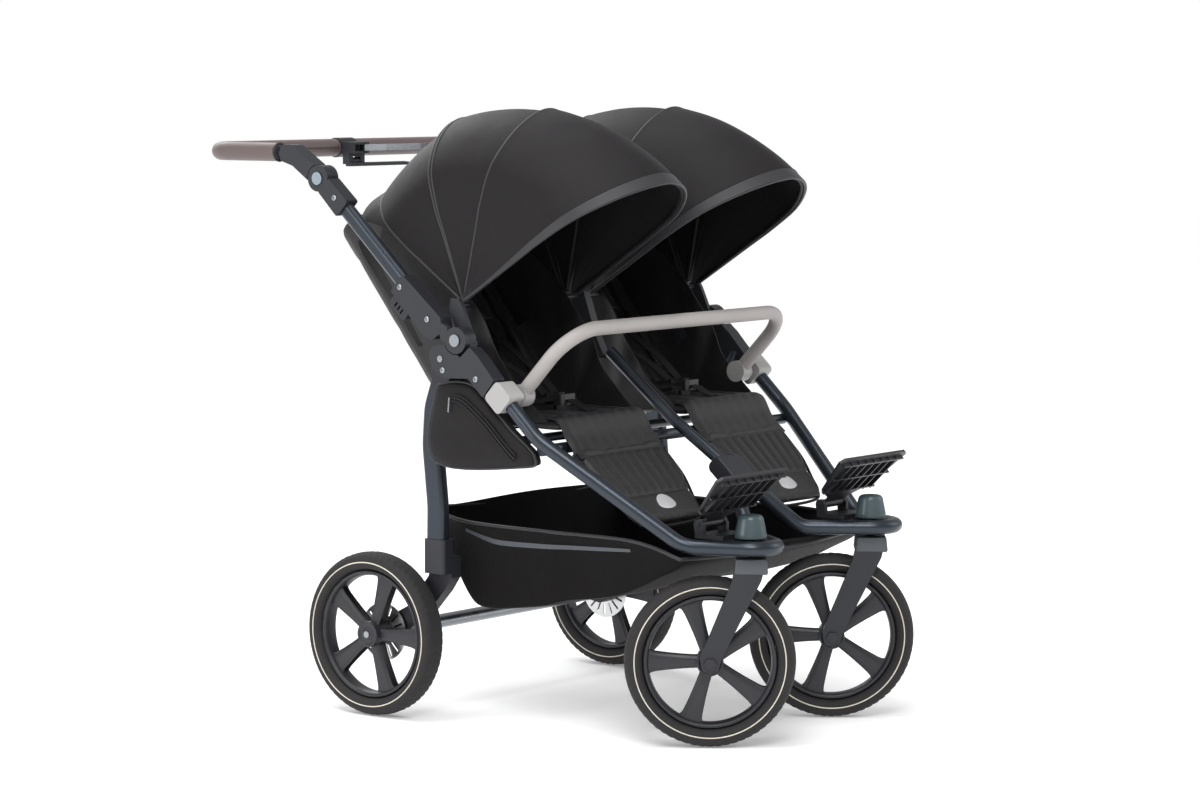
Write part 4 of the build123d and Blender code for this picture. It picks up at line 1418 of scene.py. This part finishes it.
        def spot(u: float, v: float) -> Vector:
            """A point of the cloth: u round the canopy's rear hoop, v from the hoop down to the back.

            Args:
                u: the place across, from 0 to 1.
                v: the place along, from 0 to 1.

            Returns:
                The point.
            """
            place = round(u * canopy.columns)
            hang = rear_edge[place].lerp(rim[place], v)
            bulge = 0.020 * math.sin(math.pi * v) * math.sin(math.pi * u)
            fold = 0.0030 * math.sin(u * 46 + 2 * v) * math.sin(math.pi * v)
            return hang + Vector((0.25 * fold, bulge + fold, 0.3 * fold))

        piece = cloth_grid(f"back_curtain_{self.word}", canopy.columns, 16, spot, 0.0014, 0.0)
        slant = math.radians(43.0)
        down = Vector((0, math.sin(slant), -math.cos(slant)))
        top_point = rear_edge[canopy.columns // 2]
        cross(piece, Look.CANOPY, f"backrest_{self.word}", top_point, top_point + down * 0.045)
        drops = [(low - high).length for low, high in zip(rim, rear_edge)]
        corners = zip(rim, rim[1:], rear_edge, rear_edge[1:])
        runs = [((b - a).length + (d - c).length) / 2 for a, b, c, d in corners]

    def add_front_flap(self) -> None:
        """The cloth that runs on from the cushion, over its front edge, to the leg rest."""
        low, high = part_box("seat_cushions")
        hinge = pivot(f"leg_rest_lift_{self.word}")
        drop = math.radians(self.rest_lean)
        down = Vector((0, -math.cos(drop), -math.sin(drop)))
        face = Vector((0, -math.sin(drop), math.cos(drop)))
        knots = [Vector((0, low.y + 0.030, high.z - 0.0015)), Vector((0, low.y + 0.004, high.z - 0.001)),
                 Vector((0, hinge.y, hinge.z)) + face * 0.024 - down * 0.004,
                 Vector((0, hinge.y, hinge.z)) + face * 0.0215 + down * 0.020,
                 Vector((0, hinge.y, hinge.z)) + face * 0.0195 + down * 0.044]
        rows = 40
        line = evenly(smooth_line(knots), rows)
        half = self.half - 0.005

        def spot(u: float, v: float) -> Vector:
            """A point of the flap: u across the seat, v from the cushion down to the leg rest.

            Args:
                u: the place across, from 0 to 1.
                v: the place along, from 0 to 1.

            Returns:
                The point.
            """
            across = 2 * u - 1
            pucker = 0.0012 * math.sin(across * 26) * math.sin(math.pi * v)
            tuck = 0.010 * max(0.0, abs(across) - 0.9) * 10 * math.sin(math.pi * v)
            return line[round(v * rows)] + Vector((self.x + across * half, 0, pucker - tuck))

        piece = cloth_grid(f"seat_front_flap_{self.word}", 48, rows, spot, 0.003, 0.0)
        shift = Vector((self.x, 0, 0))
        cross(piece, Look.SEAT, f"leg_rest_{self.word}", knots[1] + shift, knots[3] + shift)
        length = sum((b - a).length for a, b in zip(line, line[1:]))
        round(2 * half, 3)

    def add_harness(self) -> None:
        """The five-point harness: shoulder straps and pads, lap straps and crotch strap."""
        buckle = at(self.x, self.buckle_y, self.seat_top + 0.021)
        width = Vector((1, 0, 0))
        front = self.back_front + 0.004
        for way in (-1, 1):
            shoulder = [self.back @ Vector((way * 0.046, y, front + z))
                        for y, z in ((0.372, -0.006), (0.34, 0.004), (0.25, 0.006), (0.16, 0.010))]
            last = buckle + Vector((way * 0.014, 0.020, 0.004))
            strap = webbing(f"shoulder_strap_{self.word}_{hand(way)}",
                            [*shoulder, last + Vector((way * 0.010, 0.055, 0.040)), last], width, 0.022)
            hinge = pivot(f"backrest_recline_{self.word}")
            cross(strap, Look.WEBBING, f"backrest_{self.word}", hinge + Vector((0, -0.07, 0.05)),
                  hinge + self.up_back * 0.15 + self.off_back * 0.03)
            Pad(f"shoulder_pad_{self.word}_{hand(way)}", 0.040, 0.135, 0.009,
                self.back @ Matrix.Translation((way * 0.046, 0.205, front - 0.001)),
                f"backrest_{self.word}", None, corner=0.012, cap=0.003, voxel=0.004,
                seams=((0, 0.01, 0, 0.125),), seam_depth=0.0015).build()
            lap = [at(self.x + way * (self.half - 0.006), -0.236, self.seat_top + 0.004),
                   at(self.x + way * 0.085, -0.262, self.seat_top + 0.012),
                   at(self.x + way * 0.050, -0.288, self.seat_top + 0.018),
                   buckle + Vector((way * 0.018, 0.004, 0))]
            strap = webbing(f"lap_strap_{self.word}_{hand(way)}", lap, Vector((0.2, 1, 0.1)), 0.022)
            dress(strap, Look.WEBBING, "front_frame")
        crotch = [at(self.x, -0.372, self.seat_top + 0.002), at(self.x, -0.350, self.seat_top + 0.008),
                  at(self.x, -0.326, self.seat_top + 0.019)]
        dress(webbing(f"crotch_strap_{self.word}", crotch, width, 0.026), Look.WEBBING, "front_frame")


@dataclass
class Basket:
    """The cloth basket that hangs under the seats."""

    half: float = 0.286
    wall: float = 0.0022
    hem_sag: float = 0.012

    def build(self) -> None:
        """Makes the tub, its hems and the bands across its sides."""
        lower = [(-0.080, 0.382), (-0.110, 0.300), (-0.158, 0.222), (-0.200, 0.205), (-0.300, 0.215),
                 (-0.373, 0.231), (-0.450, 0.243), (-0.520, 0.262), (-0.600, 0.300), (-0.632, 0.318),
                 (-0.645, 0.332)]
        self.floor_line = evenly(smooth_line([at(0, y, z) for y, z in lower]), 90)
        upper = [(-0.080, 0.382), (-0.160, 0.362), (-0.350, 0.358), (-0.540, 0.356), (-0.645, 0.332)]
        self.rim_line = evenly(smooth_line([at(0, y, z) for y, z in upper]), 90)
        tub = cloth_grid("basket_cloth", 120, 90, self.spot, self.wall, 1.0)
        dress(tub, Look.BASKET, "front_frame")
        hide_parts("storage_basket")
        steps = [(b - a).length for a, b in zip(self.floor_line, self.floor_line[1:])]
        walls = [(rim - floor).length for rim, floor in zip(self.rim_line, self.floor_line)]
        girths = [2 * self.half + 2 * wall for wall in walls]
        area = sum(step * girth for step, girth in zip(steps, girths))
        for word, side in SIDES.items():
            rim = [p + Vector((side * (self.half - 0.001), 0, -0.001)) for p in self.rim_line]
            dress(piping(f"basket_hem_{word}", rim, 0.0032), Look.BINDING, "front_frame")
            self.add_band(word, side)
        for label, end in (("rear", self.rim_line[0]), ("front", self.rim_line[-1])):
            hem = [end + Vector((self.half * (k / 20 - 1), 0, -self.hem_sag * math.sin(math.pi * k / 40)))
                   for k in range(41)]
            dress(piping(f"basket_hem_{label}", hem, 0.0032), Look.BINDING, "front_frame")

    def spot(self, u: float, v: float) -> Vector:
        """A point of the tub: u from the right rim over the floor to the left rim, v from rear to front.

        Args:
            u: the place across, from 0 to 1.
            v: the place along, from 0 to 1.

        Returns:
            The point.
        """
        floor, rim = self.floor_line[round(v * 90)], self.rim_line[round(v * 90)]
        wall_share = 0.22
        if u < wall_share or u > 1 - wall_share:
            side = -1 if u < 0.5 else 1
            rise = 1 - (u if u < 0.5 else 1 - u) / wall_share
            x = side * (self.half - 0.010 * math.sin(math.pi * rise) - 0.016 * (1 - rise) ** 3)
            height = floor.z + (rim.z - floor.z) * rise
            y = floor.y + (rim.y - floor.y) * rise
        else:
            across = (u - 0.5) / (0.5 - wall_share)
            x = across * (self.half - 0.016)
            height, y = floor.z, floor.y
            height += 0.004 * (abs(across) ** 6) + 0.003 * math.cos(across * 3)
        sink = noise.noise(Vector((x * 7, y * 7, height * 9))) * 0.006
        inward = Vector((-math.copysign(1, x) if abs(x) > self.half - 0.03 else 0, 0, 1)).normalized()
        ends = math.sin(math.pi * min(max(v, 0.0), 1.0)) ** 0.4
        return Vector((x, y, height)) + inward * abs(sink) * ends

    def add_band(self, word: str, side: int) -> None:
        """The paler band sewn along one side, a hand's width under the rim.

        Args:
            word: the side, right or left.
            side: -1 for the right, 1 for the left.
        """
        rows = 60

        def spot(u: float, v: float) -> Vector:
            """A point of the band: u up its width, v from rear to front.

            Args:
                u: the place across, from 0 to 1.
                v: the place along, from 0 to 1.

            Returns:
                The point.
            """
            place = 0.15 + v * 0.65
            floor, rim = self.floor_line[round(place * 90)], self.rim_line[round(place * 90)]
            share = 0.80 + 0.06 * (u - 0.5)
            y = floor.y + (rim.y - floor.y) * share
            z = floor.z + (rim.z - floor.z) * share
            x = side * (self.half - 0.010 * math.sin(math.pi * share) + 0.0016)
            return Vector((x, y, z))

        band = cloth_grid(f"basket_band_{word}", 4, rows, spot, 0.0016, 0.0)
        dress(band, Look.BAND, "front_frame")


@dataclass
class SideBag:
    """The zipped pocket that hangs at the right of the frame."""

    inner: float = 0.352
    swell: tuple[tuple[float, float], ...] = (
        (-0.358, 1.0), (-0.370, 1.0), (-0.376, 0.985), (-0.380, 0.95),
        (-0.3825, 0.86), (-0.385, 0.7), (-0.386, 0.5), (-0.386, 0.25),
    )

    def build(self) -> None:
        """Makes the puffed bag, its piping, its zip and the puller."""
        outline = [(-0.164, 0.478), (-0.164, 0.598), (-0.190, 0.620), (-0.248, 0.620), (-0.292, 0.586),
                   (-0.336, 0.546), (-0.382, 0.512), (-0.392, 0.498), (-0.372, 0.482)]
        rim = evenly(smooth_line([at(0, y, z) for y, z in outline], 8, closed=True), 96)[:-1]
        middle = sum(rim, Vector()) / len(rim)
        bpy.ops.mesh.primitive_circle_add(vertices=len(rim), radius=1, fill_type="NOTHING")
        bag = started("side_bag_cloth")
        for vertex, spot in zip(bag.data.vertices, rim):
            vertex.co = spot + Vector((-self.inner - 0.002, 0, 0))
        only(bag)
        bpy.ops.object.mode_set(mode="EDIT")
        bpy.ops.mesh.select_all(action="SELECT")
        for x, share in self.swell:
            bpy.ops.mesh.extrude_edges_move()
            mesh = bmesh.from_edit_mesh(bag.data)
            chosen = [v for v in mesh.verts if v.select]
            start = sorted(chosen, key=lambda v: v.index)
            for vertex, spot in zip(start, rim):
                flat = middle + (spot - middle) * share
                dent = 0.004 * noise.noise(flat * 14)
                vertex.co = Vector((x + abs(dent), flat.y, flat.z))
            bmesh.update_edit_mesh(bag.data)
        bpy.ops.mesh.edge_face_add()
        bpy.ops.mesh.select_all(action="DESELECT")
        bpy.ops.object.mode_set(mode="OBJECT")
        only(bag)
        bpy.ops.object.mode_set(mode="EDIT")
        bpy.ops.mesh.select_non_manifold(extend=False)
        bpy.ops.mesh.edge_face_add()
        bpy.ops.object.mode_set(mode="OBJECT")
        outward(bag)
        finish_with(bag, "SUBSURF", levels=1, render_levels=1)
        dress(smooth(bag, 70.0), Look.CANOPY, "front_frame")
        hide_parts("side_bag")
        edge = [p + Vector((-0.3735, 0, 0)) for p in rim]
        dress(piping("side_bag_piping", edge, 0.0026, closed=True), Look.BINDING, "front_frame")
        self.add_zip(middle, rim)

    def add_zip(self, middle: Vector, rim: list[Vector]) -> None:
        """Adds the zip along the bag's sloping edge, with its puller.

        Args:
            middle: the bag's middle.
            rim: the bag's outline.
        """
        knots = [(-0.212, 0.596), (-0.240, 0.590), (-0.288, 0.556), (-0.332, 0.516), (-0.356, 0.496)]
        line = smooth_line([at(-0.3872, y, z) for y, z in knots])
        for label, shift in (("upper", 0.006), ("lower", -0.006)):
            side = [p + Vector((0.0008, -shift * 0.6, shift * 0.8)) for p in line]
            dress(piping(f"side_bag_zip_{label}", side, 0.0020), Look.CANOPY, "front_frame")
        teeth = []
        for spot in evenly(line, 60):
            bpy.ops.mesh.primitive_cube_add(size=1, location=spot)
            tooth = started("tooth")
            tooth.dimensions = (0.0016, 0.0016, 0.0042)
            bpy.ops.object.transform_apply(location=True, rotation=False, scale=True)
            teeth.append(tooth)
        dress(joined("side_bag_zip_teeth", teeth), Look.ZIP, "front_frame")
        top = line[0]
        ends = [top + Vector((-0.0022, 0.002, 0)), top + Vector((-0.004, 0.003, -0.026))]
        puller = piping("side_bag_zip_puller", ends, 0.0018)
        dress(puller, Look.STEEL, "front_frame")


@dataclass
class Handle:
    """What is added to the handle: the grip's stitching and its end collars."""

    grip: float = 0.017
    bend: float = 0.060
    stitches: int = 110

    def build(self) -> None:
        """Adds the stitches under the grips and the collars at their ends."""
        low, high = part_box("handle_grips")
        reach = high.x - self.grip
        back = high.y - self.grip
        level = (low.z + high.z) / 2
        start = low.y
        for word, side in SIDES.items():
            stitches = []
            run = [Vector((side * reach, start + 0.01, level)), Vector((side * reach, back - 0.062, level))]
            bend = self.bend
            turn = [Vector((side * (reach - bend + bend * math.cos(math.radians(a))),
                            back - bend + bend * math.sin(math.radians(a)), level)) for a in range(5, 90, 10)]
            rear = [Vector((side * (reach - 0.062), back, level)), Vector((side * 0.03, back, level))]
            line = evenly([*run, *turn, *rear], self.stitches)
            for a, b in zip(line, line[1:]):
                inward = (b - a).cross(Vector((0, 0, 1))).normalized() * side
                ride_out = inward * -self.grip * 0.992
                ends = [a.lerp(b, 0.15) + ride_out + Vector((0, 0, -0.0016)),
                        a.lerp(b, 0.75) + ride_out + Vector((0, 0, 0.0016))]
                stitches.append(piping("stitch", ends, 0.0006))
            dress(joined(f"grip_stitches_{word}", stitches), Look.WEBBING, "handle")
            bpy.ops.mesh.primitive_torus_add(major_segments=48, minor_segments=12,
                                             major_radius=self.grip - 0.0015, minor_radius=0.0028)
            collar = started(f"grip_collar_{word}")
            collar.data.transform(Matrix.Translation((side * reach, start + 0.0015, level)) @
                                  Matrix.Rotation(math.pi / 2, 4, "X"))
            dress(smooth(collar), Look.CASTING, "handle")


@dataclass
class Studio:
    """Floor, lights and camera."""

    lens: float = 107.5
    camera: Vector = field(default_factory=lambda: at(-5.2102, -4.3068, 1.1737))
    yaw: float = 52.06
    pitch: float = 5.26
    soft_light: float = 0.42
    overhead: float = 1.6

    def build(self) -> None:
        """Sets the stage."""
        scene = bpy.context.scene
        bpy.ops.mesh.primitive_plane_add(size=60, location=(0, 0, -0.0005))
        floor = started("studio_floor")
        shader = Shader("studio_white")
        shader.set(Base_Color=(0.90, 0.90, 0.90), Roughness=0.9)
        shader.set(Emission_Color=(1.0, 1.0, 1.0), Emission_Strength=0.20)
        floor.data.materials.append(shader.material)
        world = bpy.data.worlds.new("studio_world")
        scene.world = world
        world.use_nodes = True
        nodes, links = world.node_tree.nodes, world.node_tree.links
        sky = nodes["Background"]
        sky.inputs["Color"].default_value = (1, 1, 1, 1)
        seen = nodes.new("ShaderNodeLightPath")
        level = nodes.new("ShaderNodeMapRange")
        level.inputs["To Min"].default_value = self.soft_light
        level.inputs["To Max"].default_value = 1.0
        links.new(seen.outputs["Is Camera Ray"], level.inputs["Value"])
        links.new(level.outputs["Result"], sky.inputs["Strength"])
        scene.view_settings.view_transform = "Standard"
        overhead = bpy.data.lights.new("lamp_overhead", "SUN")
        overhead.energy, overhead.angle = self.overhead, math.radians(38.0)
        sun = bpy.data.objects.new("lamp_overhead", overhead)
        scene.collection.objects.link(sun)
        sun.rotation_euler = (math.radians(-9.0), math.radians(-12.0), 0)
        lamps = [("key", (-2.6, -2.2, 3.4), 2.0, 95), ("fill", (2.8, -2.8, 2.2), 2.4, 32),
                 ("back", (1.2, 3.2, 3.0), 2.4, 70), ("side", (-3.6, 1.4, 1.6), 1.6, 34)]
        for name, spot, size, power in lamps:
            data = bpy.data.lights.new(f"lamp_{name}", "AREA")
            data.size = size
            data.energy = power
            lamp = bpy.data.objects.new(f"lamp_{name}", data)
            scene.collection.objects.link(lamp)
            lamp.location = spot
            lamp.rotation_mode = "QUATERNION"
            lamp.rotation_quaternion = (Vector((0, 0, 0.55)) - Vector(spot)).to_track_quat("-Z", "Y")
        data = bpy.data.cameras.new("camera")
        data.lens = self.lens
        data.sensor_width = 36
        camera = bpy.data.objects.new("camera", data)
        scene.collection.objects.link(camera)
        camera.location = self.camera
        yaw, pitch = math.radians(self.yaw), math.radians(self.pitch)
        ahead = Vector((math.sin(yaw) * math.cos(pitch), math.cos(yaw) * math.cos(pitch), -math.sin(pitch)))
        camera.rotation_mode = "QUATERNION"
        camera.rotation_quaternion = ahead.to_track_quat("-Z", "Y")
        scene.camera = camera


def main() -> None:
    """Builds the stroller's looks in order."""
    Studio().build()
    assemblies = [Chassis(), Wheels()]
    for word, side in SIDES.items():
        assemblies += [Canopy(word, side), Seat(word, side)]
    assemblies += [Basket(), SideBag(), Handle()]
    for assembly in assemblies:
        assembly.build()
        log.info("built %s", assembly)


if __name__ == "__main__":
    main()
